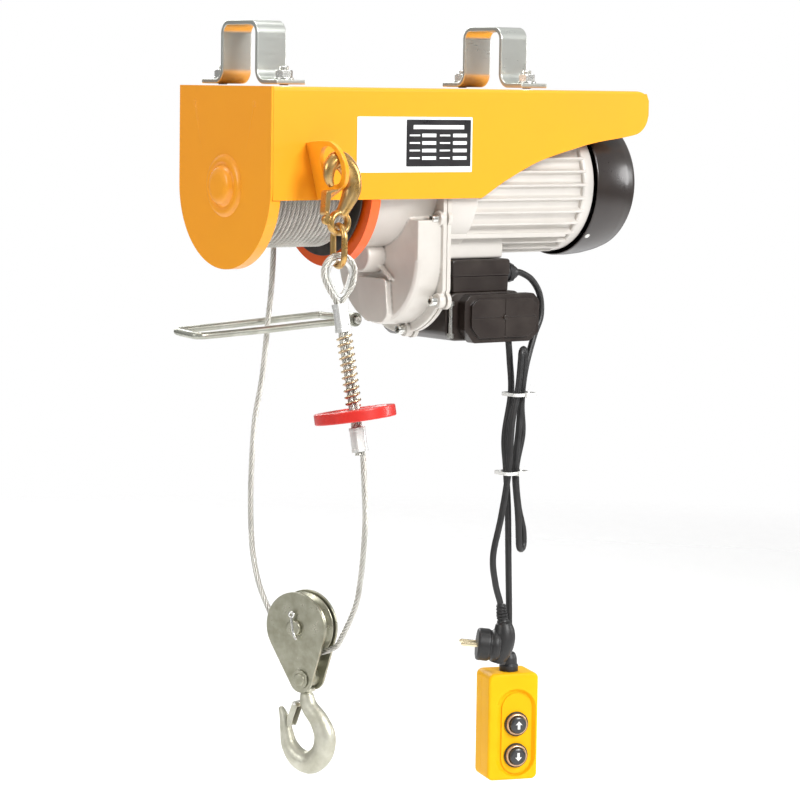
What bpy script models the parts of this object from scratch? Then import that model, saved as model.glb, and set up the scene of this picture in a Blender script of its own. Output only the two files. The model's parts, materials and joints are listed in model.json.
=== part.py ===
"""Electric wire rope hoist hung from a bar: channel frame, rope drum, two-stage gearbox, finned motor, pulley block
with swivel hook, anchor hook, limit lever and push-button pendant. Millimetre sizes below, metres in the model.
Origin: midway between the two straps, on the plane where the bar's top bears. +X runs to the motor, -Y is the front."""

import math

import bmesh
import bpy
from mathutils import Matrix, Vector

MM = 0.001

# Frame
FRAME_LEFT, FRAME_RIGHT = -201.0, 321.0
FRAME_TOP = -65.0
HALF_DEPTH = 90.0
SKIRT_BOTTOM = -185.0
SHEET = 3.0
DRUM_Z = -172.0
END_SHEET = 2.5

# Straps
STRAP_X = 165.0
STRAP_WIDTH = 37.0
STRAP_SHEET = 5.0
STRAP_INNER = 31.0
STRAP_FOOT = 73.5
FOOT_UNDER = -63.0
BOLT_Y = 59.5

# Drum and rope
ROPE_D = 5.6
BARREL_R = 62.4
WINDING_OUTER_R = 68.2
FLANGE_R = 78.0
SHAFT_R = 12.0

# Gear train: two stages, both with the same centre distance
LAYSHAFT_Z = DRUM_Z - 80.0
OUTPUT_MODULE, OUTPUT_TEETH, OUTPUT_PINION_TEETH = 2.5, 51, 13
INPUT_MODULE, INPUT_TEETH, INPUT_PINION_TEETH = 2.0, 71, 9

# Gearbox casting
NECK_LEFT, HOUSING_LEFT, SPLIT_X = -53.0, 2.0, 40.0
NECK_R, NECK_BORE = 69.5, 66.8
HOUSING_R, HOUSING_BORE = 77.0, 73.6
FLANGE_HALF = 80.0

# Motor
MOTOR_LEFT, MOTOR_RIGHT = 45.7, 252.0
FIN_R, FIN_ROOT_R, MOTOR_BORE = 80.0, 75.5, 66.0
FINS = 32
COVER_RIGHT = 322.0

# Anchor line: straight part from the upper ferrule to the lower ferrule
UPPER_FERRULE = Vector((-141.7, -138.0, -307.0))
LOWER_FERRULE = Vector((-130.8, -156.0, -435.2))
LINE = (LOWER_FERRULE - UPPER_FERRULE).normalized()
EYE_WIDE = Vector((0.99, -0.145, 0.0)).normalized()
LINK_WIDE = Vector((-0.145, -0.99, 0.0)).normalized()

# Pulley block
BLOCK_CENTRE = Vector((-117.9, -36.0, -653.8))
BLOCK_SIDE = Vector((0.34, -0.94, 0.0)).normalized()
BLOCK_AXIS = Vector((0.94, 0.34, 0.0)).normalized()
BLOCK_ROLL = math.radians(-7.7)
PIN_DROP = 57.0
SHEAVE_ROPE_R = 33.0

# Pendant
PENDANT_CENTRE = Vector((156.0, -55.0, -790.0))
PENDANT_YAW = math.radians(-18.4)
PENDANT_W, PENDANT_D, PENDANT_H = 60.0, 46.0, 124.0
BUTTON_X = 4.0
BUTTON_SPOTS = (("button_up", 3.0), ("button_down", -33.5))
CABLE_D = 7.4


def clear_scene():
    for obj in list(bpy.data.objects):
        bpy.data.objects.remove(obj)


def solid(name, points, faces):
    """A mesh object from points in millimetres, its normals turned outward."""
    mesh = bpy.data.meshes.new(name)
    mesh.from_pydata([Vector(p) * MM for p in points], [], faces)
    work = bmesh.new()
    work.from_mesh(mesh)
    bmesh.ops.recalc_face_normals(work, faces=work.faces)
    work.to_mesh(mesh)
    work.free()
    obj = bpy.data.objects.new(name, mesh)
    bpy.context.scene.collection.objects.link(obj)
    return obj


def turned(obj, matrix):
    """Moves the mesh itself, so that every object stays at the origin."""
    obj.data.transform(matrix)
    if matrix.determinant() < 0:
        obj.data.flip_normals()
    return obj


def moved(obj, x, y, z):
    return turned(obj, Matrix.Translation(Vector((x, y, z)) * MM))


def frame_matrix(origin, x_axis, y_axis, z_axis):
    rows = Matrix((x_axis, y_axis, z_axis)).transposed().to_4x4()
    return Matrix.Translation(Vector(origin) * MM) @ rows


def prism(name, outline, low, high, axis="Z"):
    """Extrudes a closed outline. Axis Z takes (x, y), axis X takes (y, z), axis Y takes (x, z)."""
    place = {
        "Z": lambda a, b, c: (a, b, c),
        "X": lambda a, b, c: (c, a, b),
        "Y": lambda a, b, c: (a, c, b),
    }[axis]
    count = len(outline)
    points = [place(a, b, low) for a, b in outline] + [place(a, b, high) for a, b in outline]
    faces = [list(range(count)), list(range(count, 2 * count))]
    for i in range(count):
        j = (i + 1) % count
        faces.append([i, j, count + j, count + i])
    return solid(name, points, faces)


def box(name, low, high):
    outline = [(low[0], low[1]), (high[0], low[1]), (high[0], high[1]), (low[0], high[1])]
    return prism(name, outline, low[2], high[2])


def lathe(name, profile, steps=20, axis="X", centre=(0.0, 0.0, 0.0)):
    """Turns a closed profile of (along, radius) about an axis. A radius of zero closes on the axis."""
    points, rings = [], []
    for along, radius in profile:
        ring = []
        if radius < 1e-6:
            ring = [len(points)] * steps
            points.append((along, 0.0, 0.0))
        else:
            for i in range(steps):
                angle = 2 * math.pi * i / steps
                ring.append(len(points))
                points.append((along, radius * math.cos(angle), radius * math.sin(angle)))
        rings.append(ring)
    faces = []
    for k, ring in enumerate(rings):
        after = rings[(k + 1) % len(rings)]
        for i in range(steps):
            j = (i + 1) % steps
            face = []
            for index in (ring[i], ring[j], after[j], after[i]):
                if index not in face:
                    face.append(index)
            if len(face) > 2:
                faces.append(face)
    obj = solid(name, points, faces)
    if axis == "Y":
        turned(obj, Matrix.Rotation(math.radians(90), 4, "Z"))
    if axis == "Z":
        turned(obj, Matrix.Rotation(math.radians(-90), 4, "Y"))
    return moved(obj, *centre)


def rod_profile(low, high, radius, chamfer=0.0):
    if chamfer <= 0.0:
        return [(low, 0.0), (low, radius), (high, radius), (high, 0.0)]
    return [
        (low, 0.0),
        (low, radius - chamfer),
        (low + chamfer, radius),
        (high - chamfer, radius),
        (high, radius - chamfer),
        (high, 0.0),
    ]


def smooth_route(route, per_span=6):
    """A Catmull-Rom curve through the route points."""
    route = [Vector(p) for p in route]
    padded = [2 * route[0] - route[1]] + route + [2 * route[-1] - route[-2]]
    points = []
    for k in range(len(route) - 1):
        a, b, c, d = padded[k : k + 4]
        for i in range(per_span):
            t = i / per_span
            points.append(
                0.5 * (2 * b + (c - a) * t + (2 * a - 5 * b + 4 * c - d) * t**2 + (3 * b - a - 3 * c + d) * t**3)
            )
    return points + [route[-1]]


def sweep(name, path, radii, sides=8, closed=False, up=None):
    """A tube along a path. `radii` is one radius or one for each point."""
    path = [Vector(p) for p in path]
    count = len(path)
    if not isinstance(radii, (list, tuple)):
        radii = [radii] * count
    tangents = []
    for i in range(count):
        before = path[i - 1] if closed or i else path[0]
        after = path[(i + 1) % count] if closed or i < count - 1 else path[-1]
        tangents.append((after - before).normalized())
    normal = up or Vector((0.0, 0.0, 1.0))
    if abs(normal.dot(tangents[0])) > 0.95:
        normal = Vector((1.0, 0.0, 0.0))
    points, faces = [], []
    for here, tangent, radius in zip(path, tangents, radii):
        normal = (normal - tangent * normal.dot(tangent)).normalized()
        binormal = tangent.cross(normal)
        for k in range(sides):
            angle = 2 * math.pi * k / sides
            points.append(here + radius * (math.cos(angle) * normal + math.sin(angle) * binormal))
    for i in range(count if closed else count - 1):
        j = (i + 1) % count
        for k in range(sides):
            m = (k + 1) % sides
            faces.append([i * sides + k, i * sides + m, j * sides + m, j * sides + k])
    if not closed:
        faces.append(list(range(sides)))
        faces.append(list(range((count - 1) * sides, count * sides)))
    return solid(name, points, faces)


def combined(obj, others, operation):
    """Adds or cuts other objects into this one, and removes them."""
    for other in others:
        modifier = obj.modifiers.new("combine", "BOOLEAN")
        modifier.solver = "EXACT"
        modifier.operation = operation
        modifier.object = other
        graph = bpy.context.evaluated_depsgraph_get()
        mesh = bpy.data.meshes.new_from_object(obj.evaluated_get(graph))
        obj.modifiers.clear()
        mesh.name = obj.name
        obj.data = mesh
        bpy.data.objects.remove(other)
    return obj


def cut(obj, *others):
    return combined(obj, others, "DIFFERENCE")


def joined(obj, *others):
    return combined(obj, others, "UNION")


def arc(centre, radius, start, end, count):
    """Points of an arc in the plane, angles in degrees."""
    angles = [math.radians(start + (end - start) * i / count) for i in range(count + 1)]
    return [(centre[0] + radius * math.cos(a), centre[1] + radius * math.sin(a)) for a in angles]


def u_outline(half, top, centre_z):
    """A flat-topped outline with a round bottom, as (y, z)."""
    return [(-half, top)] + arc((0.0, centre_z), half, 180, 360, 20) + [(half, top)]


# Frame and straps


def skirt_outline():
    curve = [(82.4, -183.7), (101.0, -172.8), (121.7, -161.9), (161.7, -144.3), (215.0, -129.8), (246.6, -123.0)]
    end = [(295.0, -116.1), (310.0, -111.0), (318.0, -102.0), (321.0, -92.0), (321.0, -76.0), (317.5, -68.0)]
    left = FRAME_LEFT + END_SHEET + 0.3
    return [(left, FRAME_TOP), (left, SKIRT_BOTTOM), (78.0, SKIRT_BOTTOM)] + curve + end + [(310.0, FRAME_TOP)]


def build_frame():
    frame = prism("frame_channel", skirt_outline(), -HALF_DEPTH, HALF_DEPTH, "Y")
    inside = box("cutter", (-260, -HALF_DEPTH + SHEET, -260), (400, HALF_DEPTH - SHEET, FRAME_TOP - SHEET))
    holes = []
    for x in (-STRAP_X, STRAP_X):
        for y in (-BOLT_Y, BOLT_Y):
            holes.append(lathe("cutter", rod_profile(-80, -50, 5.6), 12, "Z", (x, y, 0)))
    cut(frame, inside, *holes)


def build_end_plates():
    left = FRAME_LEFT
    plate = prism("end_plate_left", u_outline(HALF_DEPTH, FRAME_TOP, DRUM_Z), left, left + END_SHEET, "X")
    rim_low = -8.7
    outer = arc((0.0, DRUM_Z), HALF_DEPTH, 180 - rim_low, 360 + rim_low, 20)
    inner = arc((0.0, DRUM_Z), HALF_DEPTH - END_SHEET, 360 + rim_low, 180 - rim_low, 20)
    rim = prism("rim", outer + inner, left + 1.0, left + 13.0, "X")
    boss = lathe("boss", [(left + 8, 0), (left + 8, 24), (left + 1, 31), (left - 2.2, 29.5), (left - 2.2, 21.5),
                          (left - 5.5, 18.5), (left - 6, 0)], 20, centre=(0, 0, DRUM_Z))
    socket = lathe("socket", rod_profile(left + 3, left + 30, SHAFT_R + 0.4), 20, centre=(0, 0, DRUM_Z))
    cut(joined(plate, rim, boss), socket)
    face = -69.0
    upper = HALF_DEPTH - SHEET - 0.4
    outline = [(-upper, FRAME_TOP - SHEET - 0.4), (-upper, SKIRT_BOTTOM - 0.5)]
    outline += arc((0.0, DRUM_Z), HALF_DEPTH, 188.7, 351.3, 20)
    outline += [(upper, SKIRT_BOTTOM - 0.5), (upper, FRAME_TOP - SHEET - 0.4)]
    inner_plate = prism("end_plate_inner", outline, face, face + END_SHEET, "X")
    rim = prism("rim", outer[1:-1] + inner[1:-1], face + 1.0, face + 12.0, "X")
    hole = lathe("hole", rod_profile(face - 9, face + 9, 34.0), 24, centre=(0, 0, DRUM_Z))
    cut(joined(inner_plate, rim), hole)


def build_bracket():
    """The lug for the anchor hook, welded at a slant to the front skirt."""
    skirt = -HALF_DEPTH - 0.3
    outline = [(skirt, -124.0), (-112.0, -121.5)] + arc((-128.0, -147.0), 26.0, 100, 240, 12)
    outline += [(-106.0, -184.0), (skirt, -184.5)]
    lug = prism("anchor_lug", outline, -2.5, 2.5, "X")
    hole = [(-128 + 18.0 * math.cos(a), -147 + 20.5 * math.sin(a)) for a in [2 * math.pi * i / 22 for i in range(22)]]
    cut(lug, prism("cutter", hole, -9, 9, "X"))
    shear = Matrix.Identity(4)
    shear[0][2] = -13.0 / 51.0
    shear[0][3] = (-145.5 - 13.0 / 51.0 * 159.5) * MM
    turned(lug, shear)


def strap_outline():
    """The hat section as (y, z): outside from the left foot to the right foot, then back along the inside."""
    top, foot, sheet = STRAP_SHEET, FOOT_UNDER, STRAP_SHEET
    leg = STRAP_INNER + sheet
    left = [(-STRAP_FOOT, foot + sheet)] + arc((-leg - 11, foot + sheet + 11), 11.0, 270, 360, 5)
    left += arc((-leg + 14, top - 14), 14.0, 180, 90, 6)
    outside = left + [(-y, z) for y, z in reversed(left)]
    right = [(STRAP_FOOT, foot)] + arc((leg + 11, foot + sheet + 11), 16.0, 270, 180, 6)
    right += arc((leg - 14, top - 14), 9.0, 0, 90, 5)
    inside = right + [(-y, z) for y, z in reversed(right)]
    return outside + inside


def build_straps():
    for side, x in (("left", -STRAP_X), ("right", STRAP_X)):
        half = STRAP_WIDTH / 2
        strap = prism(f"strap_{side}", strap_outline(), x - half, x + half, "X")
        holes = [lathe("cutter", rod_profile(-70, -50, 5.6), 12, "Z", (x, y, 0)) for y in (-BOLT_Y, BOLT_Y)]
        cut(strap, *holes)
        for end, y in (("front", -BOLT_Y), ("rear", BOLT_Y)):
            bolt = lathe(f"bolt_{side}_{end}", rod_profile(-74, -47.5, 5.0, 0.8), 12, "Z", (x, y, 0))
            head = lathe("head", rod_profile(-74.8, -68.4, 9.4), 6, "Z", (x, y, 0))
            nut = lathe("nut", rod_profile(-57.7, -49.3, 9.8), 6, "Z", (x, y, 0))
            joined(bolt, head, nut)


# Drum and gear train


def build_drum():
    left, right = -186.0, -72.0
    wall = 5.0
    profile = [
        (left, FLANGE_R), (left + 2, FLANGE_R), (left + 2, BARREL_R), (right - 2, BARREL_R), (right - 2, FLANGE_R),
        (right, FLANGE_R), (right, BARREL_R - wall), (left + 6, BARREL_R - wall), (left + 6, 20.0), (left + 22, 20.0),
        (left + 22, SHAFT_R + 0.3), (left, SHAFT_R + 0.3),
    ]
    lathe("drum", profile, 24, centre=(0, 0, DRUM_Z))
    low, turns, pitch = -181.5, 12, 8.78
    crown = [(low, BARREL_R + 0.3), (low, WINDING_OUTER_R - 2.2)]
    for k in range(turns):
        crown.append((low + pitch * (k + 0.5), WINDING_OUTER_R))
        crown.append((low + pitch * (k + 1), WINDING_OUTER_R - 2.2))
    crown.append((low + pitch * turns, BARREL_R + 0.3))
    lathe("rope_winding", crown, 24, centre=(0, 0, DRUM_Z))
    shaft = [(-197.5, 0), (-197.5, SHAFT_R - 1), (-196.5, SHAFT_R), (21.6, SHAFT_R), (21.6, 0)]
    lathe("drum_shaft", shaft, 20, centre=(0, 0, DRUM_Z))


def gear(name, teeth, module, low, high, centre_z, tooth_at, bore):
    """A spur gear along X. `tooth_at` is the angle of one tooth's middle, in degrees from +Y towards +Z."""
    pitch = math.pi / teeth
    radius = module * teeth / 2
    root, tip = radius - 1.15 * module, radius + 0.9 * module
    outline = []
    for k in range(teeth):
        middle = math.radians(tooth_at) + 2 * pitch * k
        for r, width in ((root, -0.62), (tip, -0.25), (tip, 0.25), (root, 0.62)):
            angle = middle + width * pitch
            outline.append((r * math.cos(angle), centre_z + r * math.sin(angle)))
    wheel = prism(name, outline, low, high, "X")
    if bore:
        cut(wheel, lathe("cutter", rod_profile(low - 5, high + 5, bore), 20, centre=(0, 0, centre_z)))
    return wheel


def build_gears():
    gear("output_gear", OUTPUT_TEETH, OUTPUT_MODULE, 7.0, 20.5, DRUM_Z, -90.0, SHAFT_R + 0.3)
    pinion_gap = 90.0 + 180.0 / OUTPUT_PINION_TEETH
    layshaft = gear("layshaft", OUTPUT_PINION_TEETH, OUTPUT_MODULE, 6.0, 22.0, LAYSHAFT_Z, pinion_gap, 0)
    joined(layshaft, lathe("rod", rod_profile(-16, 39.5, 7.0, 0.6), 16, centre=(0, 0, LAYSHAFT_Z)))
    wheel = gear("layshaft_wheel", INPUT_TEETH, INPUT_MODULE, 25.0, 34.5, LAYSHAFT_Z, 90.0, 7.3)
    spots = [(44.0 * math.cos(a), 44.0 * math.sin(a)) for a in [math.pi * i / 3 for i in range(6)]]
    cut(wheel, *[lathe("hole", rod_profile(20, 40, 13.0), 10, centre=(0, y, LAYSHAFT_Z + z)) for y, z in spots])
    gap = -90.0 + 180.0 / INPUT_PINION_TEETH
    rotor = gear("rotor", INPUT_PINION_TEETH, INPUT_MODULE, 24.0, 36.0, DRUM_Z, gap, 0)
    shaft = lathe("rod", [(35, 0), (35, 7), (60, 9), (60, 10), (92, 10), (92, 38), (188, 38), (188, 10),
                          (262, 10), (262, 7), (286, 7), (286, 0)], 18, centre=(0, 0, DRUM_Z))
    joined(rotor, shaft)


# Gearbox


def flange_outline(grow=0.0):
    half, low = FLANGE_HALF + grow, LAYSHAFT_Z - 87.0 - grow
    start = math.degrees(math.acos(half / (87.0 + grow)))
    bottom = arc((0.0, LAYSHAFT_Z), LAYSHAFT_Z - low, 180 + start, 360 - start, 18)
    return arc((0.0, DRUM_Z), half, 0, 180, 16) + bottom


def build_housing():
    housing = lathe("gear_housing", [(NECK_LEFT, 0), (NECK_LEFT, NECK_R - 3), (NECK_LEFT + 3, NECK_R),
                                     (SPLIT_X, NECK_R), (SPLIT_X, 0)], 28, centre=(0, 0, DRUM_Z))
    lower = lathe("lower", [(HOUSING_LEFT, 0), (HOUSING_LEFT, HOUSING_R - 7), (HOUSING_LEFT + 2, HOUSING_R - 3.5),
                            (HOUSING_LEFT + 6, HOUSING_R - 1), (HOUSING_LEFT + 12, HOUSING_R), (SPLIT_X, HOUSING_R),
                            (SPLIT_X, 0)], 30, centre=(0, 0, LAYSHAFT_Z))
    rim = prism("rim", flange_outline(), 35.5, SPLIT_X, "X")
    boss = lathe("boss", [(-21, 0), (-21, 12.5), (-19, 14.5), (10, 15.5), (10, 0)], 16, centre=(0, 0, LAYSHAFT_Z))
    switch = [(-32, -276), (34, -276), (30, -322), (22, -328), (-28, -328), (-34, -322)]
    bump = prism("bump", switch, -6.0, 6.0, "X")
    joined(housing, lower, rim, boss, bump)
    neck_cavity = lathe("cavity", [(NECK_LEFT - 1, 0), (NECK_LEFT - 1, 50), (NECK_LEFT + 12, 50), (NECK_LEFT + 12, 20),
                                   (2, 20), (5.8, NECK_BORE), (SPLIT_X + 1, NECK_BORE), (SPLIT_X + 1, 0)], 28,
                        centre=(0, 0, DRUM_Z))
    lower_cavity = lathe("cavity", rod_profile(5.3, SPLIT_X + 1, HOUSING_BORE), 30, centre=(0, 0, LAYSHAFT_Z))
    seat = lathe("cavity", rod_profile(-17.0, 20.0, 7.4), 16, centre=(0, 0, LAYSHAFT_Z))
    cut(housing, neck_cavity, lower_cavity, seat)
    cover = prism("gear_cover", flange_outline(), SPLIT_X + 0.3, MOTOR_LEFT - 0.4, "X")
    shaft_hole = lathe("hole", rod_profile(SPLIT_X - 5, MOTOR_LEFT + 5, 16.0), 20, centre=(0, 0, DRUM_Z))
    cut(cover, shaft_hole)


def build_cover_screws():
    spots = [("upper", -73.6, -207.5), ("lower", -73.6, -298.5), ("bottom", -14.0, -334.0)]
    for name, y, z in spots:
        head = lathe(f"cover_screw_{name}", [(22.0, 0), (22.0, 4.2), (23.0, 5.2), (34.9, 5.2), (34.9, 0)], 14,
                     centre=(0, y, z))
        cut(head, lathe("hex", rod_profile(18, 27, 2.6), 6, centre=(0, y, z)))


# Motor and electrics


def build_motor():
    outline = []
    for k in range(FINS):
        middle = 2 * math.pi * k / FINS
        for r, width in ((FIN_ROOT_R, -0.52), (FIN_R, -0.17), (FIN_R, 0.17), (FIN_ROOT_R, 0.52)):
            angle = middle + width * math.pi / FINS
            outline.append((r * math.cos(angle), DRUM_Z + r * math.sin(angle)))
    body = prism("motor_housing", outline, 84.0, MOTOR_RIGHT, "X")
    shield = lathe("shield", [(MOTOR_LEFT, 0), (MOTOR_LEFT, 79), (MOTOR_LEFT + 6, 79), (MOTOR_LEFT + 30, 77.5),
                              (85, 77.5), (85, 0)], 32, centre=(0, 0, DRUM_Z))
    pad = box("pad", (66, -46, -255), (146, 46, -200))
    joined(body, shield, pad)
    bore = lathe("bore", rod_profile(74, MOTOR_RIGHT + 9, MOTOR_BORE), 28, centre=(0, 0, DRUM_Z))
    seat = lathe("seat", rod_profile(30, 80, 16.0), 20, centre=(0, 0, DRUM_Z))
    cut(body, bore, seat)
    lathe("stator", [(88, 38.6), (88, 65.6), (196, 65.6), (196, 38.6)], 28, centre=(0, 0, DRUM_Z))
    rear = [(226, 10.4), (226, 22), (234, 24), (234, 65.6), (242, 65.6), (242, 22), (246, 20), (246, 10.4)]
    lathe("motor_rear_shield", rear, 28, centre=(0, 0, DRUM_Z))


def build_fan():
    hub = lathe("fan", [(266, 7.3), (266, 16), (276, 16), (276, 66), (278.5, 66), (278.5, 14), (284, 14), (284, 7.3)],
                20, centre=(0, 0, DRUM_Z))
    blades = []
    for k in range(7):
        blade = box("blade", (262.5, -1.2, 17), (277, 1.2, 64))
        turned(blade, Matrix.Rotation(2 * math.pi * k / 7, 4, "X"))
        blades.append(moved(blade, 0, 0, DRUM_Z))
    joined(hub, *blades)
    outer = [(MOTOR_RIGHT + 0.5, 84.0), (265, 84.0), (300, 80.0), (313, 76.0), (320, 70.0), (COVER_RIGHT, 63.0)]
    inner = [(COVER_RIGHT - 2.5, 62.0), (317.8, 68.5), (311.5, 74.0), (299, 77.7), (265, 81.8), (MOTOR_RIGHT + 0.5, 81.8)]
    cover = lathe("fan_cover", outer + [(COVER_RIGHT, 0), (COVER_RIGHT - 2.5, 0)] + inner, 32, centre=(0, 0, DRUM_Z))
    slots = []
    for k in range(8):
        slot = box("slot", (310, -5.0, 22), (330, 5.0, 56))
        turned(slot, Matrix.Rotation(2 * math.pi * k / 8, 4, "X"))
        slots.append(moved(slot, 0, 0, DRUM_Z))
    cut(cover, *slots)


def build_electrics():
    upper = [(72, -255.6), (70, -258), (72, -291.5), (150, -291.5), (151.5, -258), (149.5, -255.6)]
    prism("terminal_box", upper, -52.0, 46.0, "Y")
    case = [(72, -292), (60, -300), (60, -338), (70, -346), (162, -348), (172, -336), (172, -302), (160, -292)]
    prism("capacitor_case", case, -54.0, 66.0, "Y")
    cover = [(86, -294), (77, -302), (77, -333), (90, -348.5), (170, -348.5), (183, -339), (184, -303), (175, -294)]
    prism("capacitor_cover", cover, -70.0, -54.4, "Y")
    gland = [(151.9, 0), (151.9, 9), (160, 9), (161, 7.5), (168, 7.0), (168, 0)]
    lathe("box_gland", gland, 12, centre=(0, -40, -272))


def build_lever():
    """A U-shaped rod lying round the falling rope, on a cross tube at the gearbox."""
    front, rear = 42.0, 86.0
    route = [(-2, front, -327), (-60, front, -330), (-120, front, -333.5), (-190, front, -336.8)]
    corner = [(-202.5, front + 3, -337.2), (-206.5, front + 10, -337), (-208.5, rear - 9, -335.2), (-205, rear - 2, -334.6)]
    back = [(-196, rear, -334), (-120, rear, -329.5), (-24, rear, -323.6), (-14, rear - 6, -323.4), (-2, 62, -324.5)]
    rod = sweep("limit_lever", route + corner + back, 4.0, 8)
    hub = lathe("hub", rod_profile(37.0, 68.0, 8.0, 1.0), 14, "Y", (0, 0, 0))
    joined(rod, moved(hub, 2, 0, -326))


# Anchor line


def hook_path(route, per_span=4):
    radii = smooth_route([(r, 0, 0) for _, r in route], per_span)
    return smooth_route([p for p, _ in route], per_span), [v.x for v in radii]


def build_anchor_hook():
    y = -135.0
    route = [((-143.5, y, -199.0), 6.0), ((-137.0, y, -190.0), 7.5), ((-128.5, y, -172.0), 9.8),
             ((-131.5, y, -153.0), 10.2), ((-145.5, y, -140.6), 9.8), ((-156.5, y, -147.5), 7.5),
             ((-158.5, y, -159.0), 5.5), ((-155.5, y, -167.0), 3.6)]
    path, radii = hook_path(route)
    hook = sweep("anchor_hook", path, radii, 8, up=Vector((0, 1, 0)))
    eye = lathe("eye", [(y - 3.5, 7.6), (y - 5, 10), (y - 3, 13.6), (y + 3, 13.6), (y + 5, 10), (y + 3.5, 7.6)], 20,
                "Y", (-144.5, 0, -207.0))
    cut(hook, lathe("hole", rod_profile(y - 20, y + 20, 7.6), 20, "Y", (-144.5, 0, -207.0)))
    ear = lathe("ear", rod_profile(y - 2.4, y + 2.4, 5.2), 11, "Y", (-159.8, 0, -206.7))
    joined(hook, joined(eye, ear))
    tongue = [(-164.5, -173.0), (-149.0, -171.2), (-149.0, -173.2), (-157.5, -175.0), (-160.0, -196.0),
              (-163.0, -200.0), (-166.5, -196.0)]
    prism("anchor_latch", tongue, y - 5, y + 5, "Y")


def ring_points(centre, wide, half_length, half_width, count=24):
    """An oval loop with straight sides, in the plane of `wide` and Z."""
    centre = Vector(centre)
    radius = half_width
    straight = half_length - half_width
    points = []
    for i in range(count):
        angle = 2 * math.pi * i / count
        shift = straight if math.sin(angle) >= 0 else -straight
        points.append(centre + wide * radius * math.cos(angle) + Vector((0, 0, radius * math.sin(angle) + shift)))
    return points


def build_link():
    loop = ring_points((-144.6, -135.2, -231.0), LINK_WIDE, 21.4, 13.2)
    sweep("anchor_link", loop, 3.3, 8, closed=True, up=LINK_WIDE)


EYE_CENTRE = Vector((-143.8, -135.6, -259.0))


def eye_points(radius, count=10):
    """The round head of the eye, in its own plane."""
    points = []
    for i in range(count + 1):
        angle = math.radians(-18 + 216 * i / count)
        points.append(EYE_CENTRE + EYE_WIDE * radius * math.cos(angle) + Vector((0, 0, radius * math.sin(angle))))
    return points


def line_point(along, aside=0.0):
    """A point of the straight part, `along` below the upper ferrule's middle, `aside` in the eye's plane."""
    side = (EYE_WIDE - LINE * EYE_WIDE.dot(LINE)).normalized()
    return UPPER_FERRULE + LINE * along + side * aside


def line_matrix(along):
    side = (EYE_WIDE - LINE * EYE_WIDE.dot(LINE)).normalized()
    return frame_matrix(line_point(along), side, LINE.cross(side), LINE)


def stadium(half_long, radius, count=6):
    right = arc((half_long - radius, 0), radius, -90, 90, count)
    return right + arc((radius - half_long, 0), radius, 90, 270, count)


def build_anchor_fittings():
    thimble = eye_points(12.6)
    thimble += [EYE_CENTRE + EYE_WIDE * -6.5 + Vector((0.6, 0, -16)), EYE_CENTRE + Vector((1.2, 0, -25)),
                EYE_CENTRE + EYE_WIDE * 7.5 + Vector((0.6, 0, -16))]
    sweep("thimble", thimble, 2.2, 8, closed=True, up=Vector((0, 1, 0)))
    gap = 0.3
    inner = stadium(ROPE_D + gap + 0.35, ROPE_D / 2 + gap)
    for name, along, half in (("ferrule_upper", 0.0, 15.0), ("ferrule_lower", 129.5, 13.0)):
        sleeve = prism(name, stadium(ROPE_D + gap + 3.2, ROPE_D / 2 + gap + 3.0), -half, half)
        cut(sleeve, prism("cutter", inner, -half - 5, half + 5))
        turned(sleeve, line_matrix(along))
    turns, radius, start, length = 11, 7.6, 17.0, 78.0
    coil = []
    steps = 10
    for i in range(turns * steps + 1):
        angle = 2 * math.pi * i / steps
        rise = start + 1.2 + (length - 2.4) * i / (turns * steps)
        coil.append(line_matrix(rise) @ Vector((radius * math.cos(angle) * MM, radius * math.sin(angle) * MM, 0)) / MM)
    sweep("buffer_spring", coil, 1.0, 4)
    profile = [(-6, 7.4), (-6, 39), (-3, 43.5), (3, 43.5), (6, 39), (6, 7.4)]
    disc = lathe("stop_disc", profile, 28, "Z")
    turned(disc, line_matrix(103.0))


def rope_route():
    """From the drum's rear side, round the sheave, up through the ferrules, round the eye and back down."""
    leaving = [(-90.0, 71.6, -174.0), (-90.2, 70.4, -192.0), (-90.7, 68.4, -216.0), (-91.2, 67.0, -247.0), (-93.2, 67.0, -286.0),
               (-96.2, 69.0, -325.2), (-100.0, 74.0, -388.5), (-107.2, 77.0, -435.7), (-112.1, 75.0, -479.3),
               (-118.0, 68.0, -521.0), (-124.5, 57.0, -553.7), (-131.0, 42.0, -585.5), (-134.0, 22.0, -620.0)]
    around = []
    for angle in (197, 212, 228, 244, 260, 276, 292):
        a = math.radians(angle)
        around.append(BLOCK_CENTRE + BLOCK_SIDE * SHEAVE_ROPE_R * math.cos(a) + Vector((0, 0, SHEAVE_ROPE_R * math.sin(a))))
    rising = [(-107.5, -82.0, -672.0), (-112.0, -104.0, -655.5), (-120.0, -139.0, -617.0), (-126.5, -157.0, -583.7),
              (-129.4, -166.0, -549.7), (-129.3, -168.0, -516.9), (-128.8, -165.0, -484.3)]
    half = ROPE_D / 2 + 0.2
    inside = [line_point(a, half) for a in (143.0, 116.0, 80.0, 45.0, 16.0, 0.0, -16.0)]
    eye = [EYE_CENTRE + EYE_WIDE * 14.0 + Vector((0.5, 0, -16.0))] + eye_points(18.2)
    eye += [EYE_CENTRE + EYE_WIDE * -13.0 + Vector((0.5, 0, -16.0))]
    down = [line_point(a, -half) for a in (-16.0, 0.0, 16.0, 45.0, 80.0, 116.0, 146.0)]
    return [Vector(p) for p in leaving] + around + [Vector(p) for p in rising] + inside, eye, down


def build_rope():
    first, eye, down = rope_route()
    path = smooth_route(first + eye + down, 2)
    sweep("wire_rope", path, ROPE_D / 2, 6)


# Pulley block and load hook


def block_matrix(origin=None, roll=BLOCK_ROLL):
    """Local X is the sheave's axis, local Y points to the anchor side, local Z up, rolled with the block."""
    side = BLOCK_SIDE
    rows = frame_matrix(BLOCK_CENTRE if origin is None else origin, BLOCK_AXIS, -side, Vector((0, 0, 1)))
    return rows @ Matrix.Rotation(roll, 4, "X")


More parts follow.
